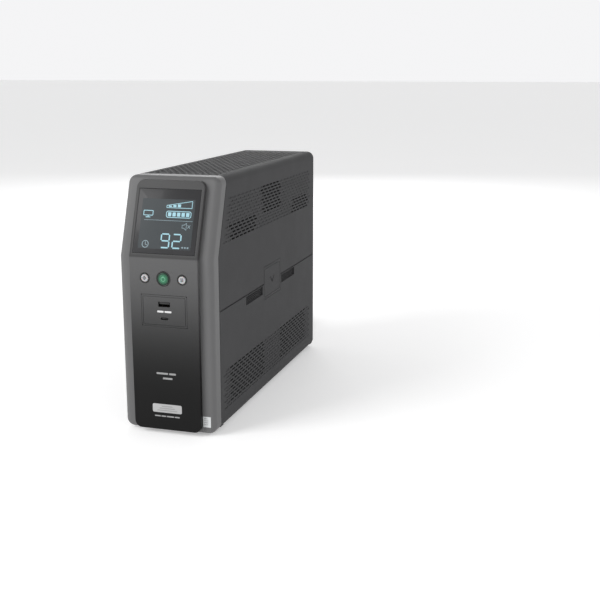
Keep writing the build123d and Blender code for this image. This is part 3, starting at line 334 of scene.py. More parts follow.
def wound_copper():
    """Enamelled wire, turn beside turn around a vertical leg."""
    look = Look("copper_winding", Metallic=0.85)
    place = look.place()
    turns = look.ping_pong(look.part(place, 2) * 1000.0, 0.55)
    drift = look.noise(place, 60.0, 4.0)
    look.give("Base Color", look.mixed(drift, (0.50, 0.20, 0.09, 1.0), (0.78, 0.36, 0.17, 1.0)))
    look.give("Roughness", 0.28 + drift * 0.15)
    look.bump(turns, 0.8, 0.0005)
    return look.material


def laminated():
    """Stacked core sheets under brown-black varnish."""
    look = Look("core_laminations", Metallic=0.55)
    place = look.place()
    sheets = look.ping_pong(look.part(place, 0) * 1000.0, 0.5)
    varnish = look.noise(place, 40.0, 5.0, 0.6)
    look.give("Base Color", look.mixed(varnish, (0.06, 0.055, 0.05, 1.0), (0.17, 0.165, 0.16, 1.0)))
    look.give("Roughness", 0.38 + varnish * 0.25)
    look.bump(sheets, 0.6, 0.0003)
    return look.material


def jacket():
    """Soft vinyl of the cord: fine grain and dull patches where it was handled."""
    look = Look("vinyl_jacket", Specular_IOR_Level=0.42)
    place = look.place()
    patches = look.noise(place, 26.0, 4.0, 0.6)
    look.give("Base Color", look.mixed(patches, grey(0.010), grey(0.021)))
    look.give("Roughness", 0.40 + patches * 0.18)
    look.bump(look.noise(place, 700.0, 3.0, 0.6), 0.5, 0.00008)
    return look.material


def make_looks():
    """Every finish of the object, by name."""
    return {
        "housing": moulded("housing_grain", grey(0.052, 1.03), 0.68, Specular_IOR_Level=0.10),
        "bezel": moulded("bezel_satin", grey(0.125, 1.01), 0.48, depth=0.00003, mottle=0.05,
                         Specular_IOR_Level=0.25),
        "fascia": fascia_painted_reflection(),
        "panel": moulded("rear_panel_grain", grey(0.026, 1.08), 0.62, Specular_IOR_Level=0.3),
        "socket": moulded("socket_black", grey(0.012), 0.50, grain=1100.0),
        "gloss_black": moulded("gloss_black", grey(0.008), 0.20, depth=0.00001),
        "part": moulded("moulded_part", grey(0.026), 0.52, grain=900.0),
        "chassis": moulded("chassis_moulding", grey(0.040), 0.58, grain=700.0, mottle=0.2),
        "button_light": moulded("button_pearl", grey(0.40, 1.02), 0.38, depth=0.00001, mottle=0.04,
                                Subsurface_Weight=0.2, Subsurface_Scale=0.002),
        "icon": moulded("button_symbol", grey(0.03), 0.40, depth=0.00001),
        "button_green": moulded("button_green", (0.014, 0.135, 0.060, 1.0), 0.34, depth=0.00001, mottle=0.08),
        "green_rim": moulded("button_green_rim", (0.004, 0.045, 0.022, 1.0), 0.36, depth=0.00001),
        "green_mark": moulded("button_green_mark", (0.16, 0.40, 0.26, 1.0), 0.40, depth=0.00001),
        "glass": smoked_glass(),
        "lcd": moulded("segment_panel", (0.013, 0.020, 0.024, 1.0), 0.34, grain=2500.0, depth=0.00001,
                       Specular_IOR_Level=0.3),
        "lit": glowing("segment_lit", (0.42, 0.78, 0.90, 1.0), 0.42),
        "dim": glowing("segment_dim", (0.40, 0.58, 0.66, 1.0), 0.14),
        "white_mark": moulded("printed_white", grey(0.62), 0.55, grain=2600.0, mottle=0.12),
        "grey_mark": moulded("printed_grey", grey(0.28), 0.55, grain=2600.0, mottle=0.12),
        "label": moulded("label_film", (0.60, 0.62, 0.62, 1.0), 0.40, depth=0.00002, mottle=0.03),
        "label_dark": moulded("label_slate", (0.040, 0.046, 0.058, 1.0), 0.36, depth=0.00002),
        "badge": moulded("badge_satin", grey(0.40), 0.34, depth=0.00002, mottle=0.05),
        "dull_steel": metal("port_shell", grey(0.13), 0.34, (1.0, 6.0, 1.0)),
        "steel": metal("nickel_plate", (0.60, 0.61, 0.62, 1.0), 0.22, (1.0, 1.0, 12.0)),
        "screw": metal("black_zinc", (0.055, 0.055, 0.060, 1.0), 0.34),
        "gold": metal("gold_plate", (0.83, 0.58, 0.24, 1.0), 0.20),
        "bronze": metal("contact_bronze", (0.62, 0.44, 0.20, 1.0), 0.28, (1.0, 9.0, 1.0)),
        "aluminium": metal("sink_aluminium", (0.68, 0.69, 0.70, 1.0), 0.30, (1.0, 10.0, 1.0)),
        "insulator": moulded("coax_insulator", (0.50, 0.29, 0.11, 1.0), 0.42, depth=0.00002),
        "circuit": circuit("solder_resist"),
        "copper": wound_copper(),
        "core": laminated(),
        "battery": moulded("battery_case", grey(0.030, 1.05), 0.46, grain=800.0),
        "relay": moulded("relay_case", (0.030, 0.090, 0.300, 1.0), 0.35, depth=0.00001),
        "lamp": moulded("lamp_lens", (0.42, 0.018, 0.014, 1.0), 0.12, depth=0.00001,
                        Emission_Color=(0.5, 0.02, 0.01, 1.0), Emission_Strength=0.12),
        "rubber": moulded("foot_rubber", grey(0.020), 0.78, grain=600.0, depth=0.00008),
        "jacket": jacket(),
        "strap": moulded("tie_strap", grey(0.035), 0.82, grain=500.0, depth=0.0002),
    }


# ======== Modelling by hand ========

def deselect():
    for obj in bpy.context.selected_objects:
        obj.select_set(False)


def take(obj):
    """Makes an object the only one selected."""
    deselect()
    obj.select_set(True)
    bpy.context.view_layer.objects.active = obj
    return obj


def settle(obj, place=None):
    """Puts the object's place, turn and size into its mesh."""
    take(obj)
    if place is not None:
        obj.matrix_world = place @ obj.matrix_world
    bpy.ops.object.transform_apply(location=True, rotation=True, scale=True)
    return obj


def fresh():
    """The primitive that was just added."""
    return bpy.context.view_layer.objects.active


def modified(obj, kind, **settings):
    """Adds one modifier and applies it."""
    modifier = obj.modifiers.new(kind, kind)
    for name, value in settings.items():
        setattr(modifier, name, value)
    take(obj)
    bpy.ops.object.modifier_apply(modifier=modifier.name)
    return obj


def rounded(obj, width, segments=2, angle=radians(35)):
    """Rounds the edges that are sharper than an angle."""
    return modified(obj, "BEVEL", width=width, segments=segments, limit_method="ANGLE", angle_limit=angle)


def smooth(obj, angle=radians(35)):
    take(obj)
    bpy.ops.object.shade_smooth_by_angle(angle=angle)
    return obj


def levelled(obj):
    """Smooth shading that keeps the large faces flat."""
    return modified(smooth(obj), "WEIGHTED_NORMAL", keep_sharp=True)


def faced_out(obj):
    """Merges doubles and turns every face outward."""
    take(obj)
    bpy.ops.object.mode_set(mode="EDIT")
    bpy.ops.mesh.select_all(action="SELECT")
    bpy.ops.mesh.remove_doubles(threshold=0.004)
    bpy.ops.mesh.normals_make_consistent(inside=False)
    bpy.ops.object.mode_set(mode="OBJECT")
    return obj


def copy_of(obj, place=None):
    """A copy with its own mesh, moved by a matrix."""
    made = obj.copy()
    made.data = obj.data.copy()
    bpy.context.scene.collection.objects.link(made)
    return settle(made, place) if place is not None else made


def joined(pieces):
    """One object from several. Each keeps its own finish."""
    deselect()
    for piece in pieces:
        piece.select_set(True)
    bpy.context.view_layer.objects.active = pieces[0]
    bpy.ops.object.join()
    return pieces[0]


def painted(obj, look):
    """Gives an object one finish."""
    obj.data.materials.clear()
    obj.data.materials.append(looks[look])
    return obj


def carved(obj, cutter):
    """Cuts one object out of another."""
    modified(obj, "BOOLEAN", operation="DIFFERENCE", solver="EXACT", object=cutter)
    bpy.data.objects.remove(cutter)
    return obj


def finished(obj, name, body, nodes=()):
    """Brings a piece to metres and joins it to the frame."""
    take(obj)
    obj.scale = (MM, MM, MM)
    settle(obj)
    obj.name = name
    obj.data.name = name
    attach(obj, body)
    if nodes:
        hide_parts(*nodes)
    return obj


def block(size, centre=(0.0, 0.0, 0.0), edge=0.0, segments=2):
    """A box with rounded edges."""
    deselect()
    bpy.ops.mesh.primitive_cube_add(size=1.0, location=centre)
    obj = fresh()
    obj.scale = size
    settle(obj)
    return rounded(obj, edge, segments) if edge else obj


def between(low, high, edge=0.0, segments=2):
    """A box from its lowest to its highest corner."""
    size = [top - base for base, top in zip(low, high)]
    centre = [(top + base) / 2 for base, top in zip(low, high)]
    return block(size, centre, edge, segments)


def drawn_out(obj, steps):
    """Extrudes a flat outline that lies at height 0 through steps of (share of its size, height)."""
    take(obj)
    bpy.ops.object.mode_set(mode="EDIT")
    bpy.ops.mesh.select_all(action="SELECT")
    share, height = 1.0, 0.0
    for next_share, next_height in steps:
        rise = {"value": (0, 0, next_height - height)}
        bpy.ops.mesh.extrude_region_move(TRANSFORM_OT_translate=rise)
        change = next_share / share
        bpy.ops.transform.resize(value=(change, change, 1.0), center_override=(0, 0, 0))
        share, height = next_share, next_height
    bpy.ops.object.mode_set(mode="OBJECT")
    return faced_out(obj)


def turned(steps, sides=48, hollow=False):
    """A round piece up its own Z axis, through steps of (radius, height)."""
    deselect()
    radius, base = steps[0]
    fill = "NOTHING" if hollow else "NGON"
    bpy.ops.mesh.primitive_circle_add(vertices=sides, radius=radius, fill_type=fill)
    shares = [(next_radius / radius, height - base) for next_radius, height in steps[1:]]
    return settle(drawn_out(fresh(), shares), Matrix.Translation((0, 0, base)))


def plate(width, height, thick, corner=0.0, line=0.0, steps=4):
    """A flat plate with round corners, its back at height 0, or a frame of one line's width."""
    deselect()
    bpy.ops.mesh.primitive_plane_add(size=1.0)
    obj = fresh()
    obj.scale = (width, height, 1.0)
    settle(obj)
    bpy.ops.object.mode_set(mode="EDIT")
    bpy.ops.mesh.select_all(action="SELECT")
    if corner:
        bpy.ops.mesh.bevel(offset=corner, segments=steps, affect="VERTICES")
    bpy.ops.mesh.select_all(action="SELECT")
    if line:
        bpy.ops.mesh.inset(thickness=line)
        bpy.ops.mesh.delete(type="FACE")
    bpy.ops.object.mode_set(mode="OBJECT")
    return modified(obj, "SOLIDIFY", thickness=thick, offset=1.0)


def facing(origin, across, up):
    """The matrix of a flat face: its first axis across it, its second up it, its third out of it."""
    out = Vector(across).cross(Vector(up))
    matrix = Matrix((across, up, out)).transposed().to_4x4()
    matrix.translation = origin
    return matrix


FRONT = facing((0, FRONT_Y, 0), (1, 0, 0), (0, 0, 1))
BAND = facing((0, BEZEL_Y, 0), (1, 0, 0), (0, 0, 1))
SLOPE = facing((0, FRONT_Y, KINK_Z), (1, 0, 0), (0, sin(LEAN), cos(LEAN)))
REAR = facing((0, REAR_Y, 0), (-1, 0, 0), (0, 0, 1))
SIDE = facing((HALF_WIDTH, 0, 0), (0, 1, 0), (0, 0, 1))


def on(face, obj, across, up, out=0.0, turn=0.0):
    """Lays a piece on a face at a place across and up it, turned in the face's plane."""
    return settle(obj, face @ Matrix.Translation((across, up, out)) @ Matrix.Rotation(turn, 4, "Z"))


def stroke(face, start, end, width, thick, out=0.0):
    """A straight printed line between two places on a face."""
    run = Vector(end) - Vector(start)
    middle = (Vector(end) + Vector(start)) / 2
    line = plate(run.length + width * 0.6, width, thick, width * 0.3, steps=2)
    return on(face, line, middle.x, middle.y, out, Vector((1, 0)).angle_signed(run) * -1)


def words(face, left, up, lengths, height, thick, out=0.0, turn=0.0):
    """A printed word or two as plain bars, from the left."""
    bars = []
    reach = 0.0
    for length in lengths:
        middle = reach + length / 2
        bar = plate(length, height, thick, height * 0.3, steps=2)
        bars.append(on(face, bar, left + middle * cos(turn), up + middle * sin(turn), out, turn))
        reach += length + height * 0.6
    return bars


def merged_copy(node):
    """A CAD node's shape as one closed mesh in millimetres, free to be worked on."""
    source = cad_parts[node]
    obj = source.copy()
    obj.data = source.data.copy()
    obj.parent = None
    for key in [key for key in obj.keys() if key.startswith("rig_")]:
        del obj[key]
    obj.matrix_world = Matrix.Identity(4)
    bpy.context.scene.collection.objects.link(obj)
    obj.scale = (1 / MM, 1 / MM, 1 / MM)
    settle(obj)
    bpy.ops.object.mode_set(mode="EDIT")
    bpy.ops.mesh.customdata_custom_splitnormals_clear()
    bpy.ops.mesh.select_all(action="SELECT")
    bpy.ops.mesh.remove_doubles(threshold=0.004)
    bpy.ops.mesh.dissolve_limited(angle_limit=radians(0.2))
    bpy.ops.object.mode_set(mode="OBJECT")
    return obj


# ======== Casing ========

def slot_grid(row_first, rows, start_of_row):
    """Centres of the staggered vent slots, as depth behind the front plane and distance across."""
    centres = []
    for row in range(rows):
        across = row_first + row * ROW_PITCH
        start = start_of_row(across) + (SLOT_PITCH / 2 if row % 2 else 0)
        count = int((FIELD_END_DEPTH - start - SLOT_LENGTH / 2) // SLOT_PITCH) + 1
        centres += [(start + step * SLOT_PITCH, across) for step in range(count)]
    return centres


def upper_start(z):
    return BEZEL_DEPTH + (z - KINK_Z) * tan(LEAN) + SLOT_TO_SEAM + SLOT_LENGTH / 2


def lower_start(_):
    return BEZEL_DEPTH + SLOT_TO_SEAM + SLOT_LENGTH / 2


def top_start(_):
    return BEZEL_DEPTH + (HEIGHT - KINK_Z) * tan(LEAN) + SLOT_TO_SEAM


def closed_slots(grid, blocks):
    """The slots of a grid that don't go through the wall."""
    return [(depth, across) for depth, across in grid
            if not any(low <= depth <= high and left <= across <= right
                       for low, high, left, right in blocks)]


def slot_tool():
    """The cutter of one blind slot, long in Y."""
    deselect()
    bpy.ops.mesh.primitive_circle_add(vertices=14, radius=SLOT_WIDTH / 2, fill_type="NGON")
    obj = fresh()
    bpy.ops.object.mode_set(mode="EDIT")
    bpy.ops.mesh.select_all(action="SELECT")
    depth = {"value": (0, 0, BLIND_DEPTH + 0.5)}
    bpy.ops.mesh.extrude_region_move(TRANSFORM_OT_translate=depth)
    bpy.ops.mesh.select_all(action="DESELECT")
    bpy.ops.object.mode_set(mode="OBJECT")
    for vertex in obj.data.vertices:
        vertex.select = vertex.co.y > 0
    bpy.ops.object.mode_set(mode="EDIT")
    bpy.ops.transform.translate(value=(0, SLOT_LENGTH - SLOT_WIDTH, 0))
    bpy.ops.object.mode_set(mode="OBJECT")
    obj.location = (0, -(SLOT_LENGTH - SLOT_WIDTH) / 2, -BLIND_DEPTH)
    settle(obj)
    return faced_out(obj)


def slot_cutters(matrices):
    """All the blind slots of one shell as one cutter."""
    tool = slot_tool()
    copies = [copy_of(tool) for matrix in matrices]
    for cutter, matrix in zip(copies, matrices):
        cutter.matrix_world = matrix
    cutters = joined(copies)
    settle(cutters)
    bpy.data.objects.remove(tool)
    return cutters


def side_places(side, grid, blocks):
    """Where the blind slots of one side lie."""
    turn = Matrix.Rotation(side * pi / 2, 4, "Y")
    return [Matrix.Translation((side * HALF_WIDTH, FRONT_Y + depth, z)) @ turn
            for depth, z in closed_slots(grid, blocks)]


def top_places():
    grid = slot_grid(-(TOP_ROWS - 1) / 2 * ROW_PITCH, TOP_ROWS, top_start)
    return [Matrix.Translation((x, FRONT_Y + depth, HEIGHT))
            for depth, x in closed_slots(grid, TOP_OPEN)]


def make_casing():
    """Housing, two right-hand covers, latch and bezel."""
    upper = slot_grid(UPPER_ROW_Z, UPPER_ROWS, upper_start)
    lower = slot_grid(LOWER_ROW_Z, LOWER_ROWS, lower_start)
    left = side_places(-1, upper, UPPER_OPEN) + side_places(-1, lower, LOWER_OPEN)
    slots = {
        "main_housing": left + top_places(),
        "right_cover": side_places(1, upper, UPPER_OPEN),
        "battery_cover": side_places(1, lower, LOWER_OPEN),
    }
    for node, places in slots.items():
        cutters = joined([slot_cutters(places)] + seam_cutters(node))
        shell = carved(merged_copy(node), cutters)
        if node == "battery_cover":
            shell = joined([shell] + pocket_ribs())
        painted(shell, "housing")
        body = "battery_cover" if node == "battery_cover" else "unit"
        finished(smooth(shell), node + "_shell", body, [node])
    bezel = painted(smooth(merged_copy("front_bezel")), "bezel")
    finished(bezel, "bezel_shell", "unit", ["front_bezel"])
    make_latch()


def seam_cutters(node):
    """Narrow grooves along the edges of the right-hand covers."""
    seam_y = FRONT_Y + BEZEL_DEPTH
    if node == "right_cover":
        low, high = COVER_TOP_Z - 1.0, COVER_TOP_Z + SEAM_WIDTH
        first, last = COVER_TOP_Z, KINK_Z
    elif node == "battery_cover":
        low, high = COVER_TOP_Z - SEAM_WIDTH, COVER_TOP_Z + 1.0
        first, last = 9.0, COVER_TOP_Z - 2.0
    else:
        return []
    edge = between((seam_y + 2.0, low, -SEAM_DEPTH), (REAR_Y - 4.0, high, 1.0))
    front = between((-1.0, first, -SEAM_DEPTH), (SEAM_WIDTH, last, 1.0))
    grooves = [on(SIDE, edge, 0, 0), on(SIDE, front, seam_y, 0)]
    if last == KINK_Z:
        lean = between((-1.0, 0.5, -SEAM_DEPTH), (SEAM_WIDTH, 72.0, 1.0))
        grooves.append(on(SIDE, lean, seam_y, KINK_Z, 0, -LEAN))
    return grooves


def pocket_ribs():
    """Grip ribs on the floor of the two finger pockets."""
    ribs = []
    for start, end in ((99.0, 157.0), (222.0, 277.0)):
        for row in range(5):
            z = COVER_TOP_Z - 3.2 - row * 1.9
            low = (HALF_WIDTH - 7.1, FRONT_Y + start + 2.5, z - 0.35)
            high = (HALF_WIDTH - 1.6, FRONT_Y + end - 2.5, z + 0.35)
            ribs.append(between(low, high, 0.25))
    return ribs


def make_latch():
    """The press tab with its raised border and arrow."""
    tab = rounded(merged_copy("cover_latch"), 0.35)
    low, high = [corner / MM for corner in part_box("cover_latch")]
    wide = high.y - low.y
    tall = high.z - low.z
    middle_y = (high.y + low.y) / 2
    middle_z = (high.z + low.z) / 2
    groove = plate(wide - 5.0, tall - 5.0, 0.8, 2.0, line=0.7)
    carved(tab, on(SIDE, groove, middle_y, middle_z, -0.35))
    painted(tab, "housing")
    tip = (middle_y, middle_z - 3)
    marks = [stroke(SIDE, (middle_y + side * 7, middle_z + 4), tip, 1.2, 0.13, -0.13)
             for side in (-1, 1)]
    for mark in marks:
        painted(mark, "bezel")
    finished(smooth(joined([tab] + marks)), "latch_tab", "cover_latch", ["cover_latch"])


# ======== Scene ========

def make_camera():
    data = bpy.data.cameras.new("view")
    data.lens = CAMERA_LENS
    camera = bpy.data.objects.new("view", data)
    camera.location = CAMERA_PLACE
    camera.rotation_euler = (pi / 2 - CAMERA_DOWN, 0, CAMERA_TURN)
    bpy.context.scene.collection.objects.link(camera)
    bpy.context.scene.camera = camera


def area_light(name, place, target, size, power):
    data = bpy.data.lights.new(name, "AREA")
    data.shape = "RECTANGLE"
    data.size, data.size_y = size
    data.energy = power
    light = bpy.data.objects.new(name, data)
    light.location = place
    light.rotation_euler = (Vector(target) - Vector(place)).to_track_quat("-Z", "Y").to_euler()
    bpy.context.scene.collection.objects.link(light)


def make_studio():
    """Pale floor, pale surroundings and three soft lights."""
    scene = bpy.context.scene
    scene.view_settings.view_transform = "Standard"
    world = bpy.data.worlds.new("studio")
    world.use_nodes = True
    tree = world.node_tree
    backdrop = tree.nodes["Background"]
    backdrop.inputs["Strength"].default_value = 0.92
    direction = tree.nodes.new("ShaderNodeTexCoord").outputs["Generated"]
    split = tree.nodes.new("ShaderNodeSeparateXYZ")
    ramp = tree.nodes.new("ShaderNodeValToRGB")
    ramp.color_ramp.elements[0].position = 0.30
    ramp.color_ramp.elements[0].color = (0.99, 0.99, 1.0, 1.0)
    ramp.color_ramp.elements[1].position = 0.85
    ramp.color_ramp.elements[1].color = grey(0.40)
    tree.links.new(direction, split.inputs[0])
    tree.links.new(split.outputs["Z"], ramp.inputs[0])
    tree.links.new(ramp.outputs[0], backdrop.inputs["Color"])
    scene.world = world
    area_light("key", (-1.1, -1.3, 1.1), (0, -0.1, 0.12), (0.9, 1.2), 21.0)
    area_light("side", (1.7, -0.2, 0.9), (0, 0, 0.12), (1.2, 0.8), 5.0)
    area_light("back", (-0.5, 1.9, 1.0), (0, 0.1, 0.1), (1.2, 0.8), 9.0)
    deselect()
    bpy.ops.mesh.primitive_plane_add(size=60.0)
    floor = fresh()
    floor.name = "floor"
    look = Look("pale_floor", Specular_IOR_Level=0.1, Emission_Color=grey(1.0), Emission_Strength=0.30)
    look.give("Base Color", look.mixed(look.noise(look.place(), 3.0), grey(0.86), grey(0.89)))
    look.give("Roughness", 0.7 + look.noise(look.place(), 40.0) * 0.1)
    floor.data.materials.append(look.material)


# ======== Cord ========

def coil_points():
    """Five and a half turns, two wide and three high, each step to the next place in its own sector."""
    half = CORD_DIAMETER / 2
    outer = COIL_MIDDLE_RADIUS + half
    inner = COIL_MIDDLE_RADIUS - half
    places = [(outer, 0), (inner, 0), (inner, 1), (outer, 1), (inner, 2), (outer, 2)]
    step = 2 * pi / POINTS_PER_TURN
    swell = 1 / (0.75 + 0.25 * cos(step))
    points = []
    for index in range(int(COIL_TURNS * POINTS_PER_TURN) + 1):
        angle = index * step
        radius, layer = place_at(places, angle)
        points.append((COIL_CENTRE[0] + radius * swell * cos(angle),
                       COIL_CENTRE[1] + radius * swell * sin(angle),
                       half + layer * CORD_DIAMETER))
    return points


def place_at(places, angle):
    """Radius and layer at an angle along the whole coil."""
    sector = radians(45.0)
    radius, layer = places[0]
    for turn, (next_radius, next_layer) in enumerate(places[1:]):
        end = 2 * pi * (turn + 1) - radians(30.0) * turn
        share = min(max((angle - end + sector) / sector, 0.0), 1.0)
        risen = min(1.0, share * 1.6)
        moved = max(0.0, share * 1.6 - 0.6)
        radius += (next_radius - places[turn][0]) * moved
        layer += (next_layer - places[turn][1]) * risen
    return radius, layer


def make_cord():
    """The free cord as one spline: the lead, the coil and the tail to the plug."""
    points = list(LEAD) + coil_points() + list(TAIL)
    data = bpy.data.curves.new("mains_cord", "CURVE")
    data.dimensions = "3D"
    spline = data.splines.new("NURBS")
    spline.points.add(len(points) - 1)
    for point, place in zip(spline.points, points):
        point.co = (place[0] * MM, place[1] * MM, place[2] * MM, 1.0)
    spline.order_u = 3
    spline.use_endpoint_u = True
    spline.resolution_u = 6
    data.bevel_depth = CORD_DIAMETER * MM / 2
    data.bevel_resolution = 5
    data.use_fill_caps = True
    cord = bpy.data.objects.new("mains_cord", data)
    bpy.context.scene.collection.objects.link(cord)
    data.materials.append(looks["jacket"])
    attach(cord, "unit")
    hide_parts("power_cord", "cord_coil", "cord_tail")
    on_cord = make_plug() + [make_tie()]


# ======== Front ========

def make_front():
    """Fascia with its printing, display, buttons and sockets."""
    fascia = painted(levelled(rounded(merged_copy("front_panel"), 0.45, 2, radians(60))), "fascia")
    finished(fascia, "fascia", "unit", ["front_panel"])
    printing = (words(FRONT, -10.6, 64.4, (12.6, 7.4), 1.9, PRINT)
                + words(FRONT, -3.8, 59.4, (10.4,), 1.9, PRINT))
    printing += words(FRONT, -14.0, 19.0, (6.5, 5.0, 8.0, 5.5), 1.3, PRINT)
    finished(painted(joined(printing), "grey_mark"), "fascia_printing", "unit")
    badge = [painted(on(FRONT, rounded(plate(32.0, 9.0, 0.45, 1.6), 0.15), 0, 27.5), "badge")]
    for step in range(3):
        rib = rounded(plate(22.0 - 5.0 * step, 1.0, 0.14, 0.4), 0.05, 1)
        badge.append(painted(on(FRONT, rib, 0, 25.3 + 2.2 * step, 0.45), "grey_mark"))
    finished(smooth(joined(badge)), "badge_plate", "unit", ["front_badge"])
    make_rating_label()
    make_display()
    make_buttons()
    make_front_sockets()


def make_rating_label():
    """A small plain label low on the right-hand band."""
    label = [painted(on(BAND, plate(8.4, 11.2, 0.05, 0.5), 41.0, 15.5), "label")]
    for row, lengths in enumerate(((3.6,), (1.6, 2.6), (4.4,), (2.2, 1.6))):
        for bar in words(BAND, 38.0, 19.0 - 2.1 * row, lengths, 0.7, 0.03, 0.05):
            label.append(painted(bar, "grey_mark"))
    finished(joined(label), "bezel_label", "unit")


def make_display():
    """Smoked window over a segment panel with lit and unlit symbols."""
    window = painted(on(SLOPE, rounded(plate(*WINDOW, 1.0), 0.3), 0, WINDOW_UP, -WINDOW[2]), "glass")
    finished(smooth(window), "window_glass", "unit", ["display_window"])
    width, height, up = SEGMENT_AREA
    panel = painted(on(SLOPE, plate(width, height, 0.03, 0.8), 0, up), "lcd")
    finished(panel, "segment_panel", "unit")
    lit = digit("abcdfg", -5.5) + digit("abged", 6.75)
    lit += battery_symbol() + load_symbol()
    lit += symbol_frame(-22.3, 45.5, 10.6, 5.4, 0.7, 0.8)
    lit += symbol_lines([((-22.3, 42.6), (-22.3, 41.6)), ((-24.6, 41.3), (-20.0, 41.3))], 0.8)
    finished(painted(joined(lit), "lit"), "symbols_lit", "unit")
    dim = symbol_lines([((-26.0, 38.5), (25.5, 38.5))], 0.4)
    dim += symbol_frame(-22.1, 14.2, 7.3, 7.6, 0.7, 3.6)
    dim += symbol_lines([((-22.1, 14.2), (-22.1, 16.6)), ((-22.1, 14.2), (-20.4, 13.2))], 0.6)
    dim += words(SLOPE, 16.8 + SYMBOL_SHIFT, 12.2, (1.9, 1.9, 1.9), 1.5, SYMBOL_THICK, 0.03)
    dim += speaker_symbol()
    finished(painted(joined(dim), "dim"), "symbols_dim", "unit")


def symbol_lines(pairs, width):
    """Straight strokes of the display, between pairs of places."""
    shift = Vector((SYMBOL_SHIFT, 0))
    return [stroke(SLOPE, Vector(start) + shift, Vector(end) + shift, width, SYMBOL_THICK, 0.03)
            for start, end in pairs]


def symbol_frame(across, up, width, height, line, corner):
    frame_piece = plate(width, height, SYMBOL_THICK, corner, line)
    return [on(SLOPE, frame_piece, across + SYMBOL_SHIFT, up, 0.03)]


def digit(segments, left):
    """A seven-segment digit."""
    width, height = DIGIT_SIZE
    low, high, gap = DIGIT_BASE, DIGIT_BASE + height, 1.0
    middle = (low + high) / 2
    right = left + width
    ends = {
        "a": ((left + gap, high), (right - gap, high)),
        "b": ((right, high - gap), (right, middle + gap)),
        "c": ((right, middle - gap), (right, low + gap)),
        "d": ((left + gap, low), (right - gap, low)),
        "e": ((left, middle - gap), (left, low + gap)),
        "f": ((left, high - gap), (left, middle + gap)),
        "g": ((left + gap, middle), (right - gap, middle)),
    }
    return symbol_lines([ends[segment] for segment in segments], SEGMENT_WIDTH)


def battery_symbol():
    """A capsule with five filled cells."""
    pieces = symbol_frame(10.2, 44.85, 26.8, 6.9, 0.7, 2.2)
    for cell in range(5):
        filled = plate(3.5, 4.0, SYMBOL_THICK, 0.5)
        pieces.append(on(SLOPE, filled, 0.6 + 4.8 * cell + SYMBOL_SHIFT, 44.85, 0.03))
    return pieces


def load_symbol():
    """A rising wedge with its filled steps."""
    left, right, low = -3.2, 23.6, 51.4
    outline = [((left, low), (right, low)), ((right, low), (right, 58.5)),
               ((right, 58.5), (left, 53.6)), ((left, 53.6), (left, low))]
    pieces = symbol_lines(outline, 0.6)
    for step in range(3):
        height = 1.4 + 0.75 * step
        filled = plate(3.4, height, SYMBOL_THICK, 0.3)
        across = 0.4 + 4.8 * step + SYMBOL_SHIFT
        pieces.append(on(SLOPE, filled, across, low + 0.8 + height / 2, 0.03))
    return pieces


def speaker_symbol():
    """A crossed-out speaker."""
    lines = [((15.2, 31.6), (17.2, 31.6)), ((15.2, 34.6), (17.2, 34.6)),
             ((15.2, 31.6), (15.2, 34.6)), ((17.2, 34.6), (19.6, 36.6)),
             ((17.2, 31.6), (19.6, 29.6)), ((19.6, 29.6), (19.6, 36.6)),
             ((21.0, 31.6), (23.6, 34.6)), ((21.0, 34.6), (23.6, 31.6))]
    return symbol_lines(lines, 0.55)


def make_buttons():
    """Three round caps in black rings."""
    rings = []
    for index, (kind, diameter, look) in enumerate(BUTTONS):
        x = (index - 1) * BUTTON_PITCH
        radius = diameter / 2
        cap = turned([(radius, -8.4), (radius, 0.2), (radius - 0.12, 0.42), (radius - 0.4, 0.55),
                      (radius - 0.8, 0.56), (radius - 1.4, 0.46), (0.3, 0.42)])
        pieces = [painted(on(FRONT, cap, x, BUTTON_Z), look)] + button_mark(kind, x)
        node = kind + "_button"
        finished(smooth(joined(pieces)), kind + "_cap", node, [node])
        inner = radius + 0.3
        outer = inner + 1.2
        ring = turned([(outer, -5.0), (outer, 0.05), (outer - 0.2, 0.27), (outer - 0.5, 0.3),
                       (inner + 0.3, 0.3), (inner + 0.08, 0.2), (inner, 0.0), (inner, -5.0),
                       (outer, -5.0)], 64, True)
        rings.append(painted(on(FRONT, ring, x, BUTTON_Z), "gloss_black"))
    finished(smooth(joined(rings)), "rings", "unit", ["button_rings"])


def button_mark(kind, x):
    """The symbol on a button's cap."""
    if kind == "power":
        disc = turned([(4.4, 0.3), (4.4, 0.48), (4.2, 0.54), (0.3, 0.54)])
        ring = turned([(2.3, 0.5), (2.3, 0.58), (1.8, 0.58), (1.8, 0.5), (2.3, 0.5)], 48, True)
        bar = plate(0.55, 2.2, 0.09, 0.2)
        return [painted(on(FRONT, disc, x, BUTTON_Z), "button_green"),
                painted(on(FRONT, ring, x, BUTTON_Z - 0.2), "green_mark"),
                painted(on(FRONT, bar, x, BUTTON_Z + 1.9, 0.5), "green_mark")]
    if kind == "menu":
        lines = [((x - 1.4, BUTTON_Z + up), (x + 1.4, BUTTON_Z + up)) for up in (-1.3, 0.0, 1.3)]
    else:
        places = (((-1.5, -0.7), (-1.5, 0.7)), ((-1.5, 0.7), (0, 1.7)), ((-1.5, -0.7), (0, -1.7)),
                  ((0, -1.7), (0, 1.7)), ((1.2, -0.9), (1.2, 0.9)))
        lines = [((x + start[0], BUTTON_Z + start[1]), (x + end[0], BUTTON_Z + end[1]))
                 for start, end in places]
    return [painted(stroke(FRONT, start, end, 0.6, 0.1, 0.45), "icon")
            for start, end in lines]


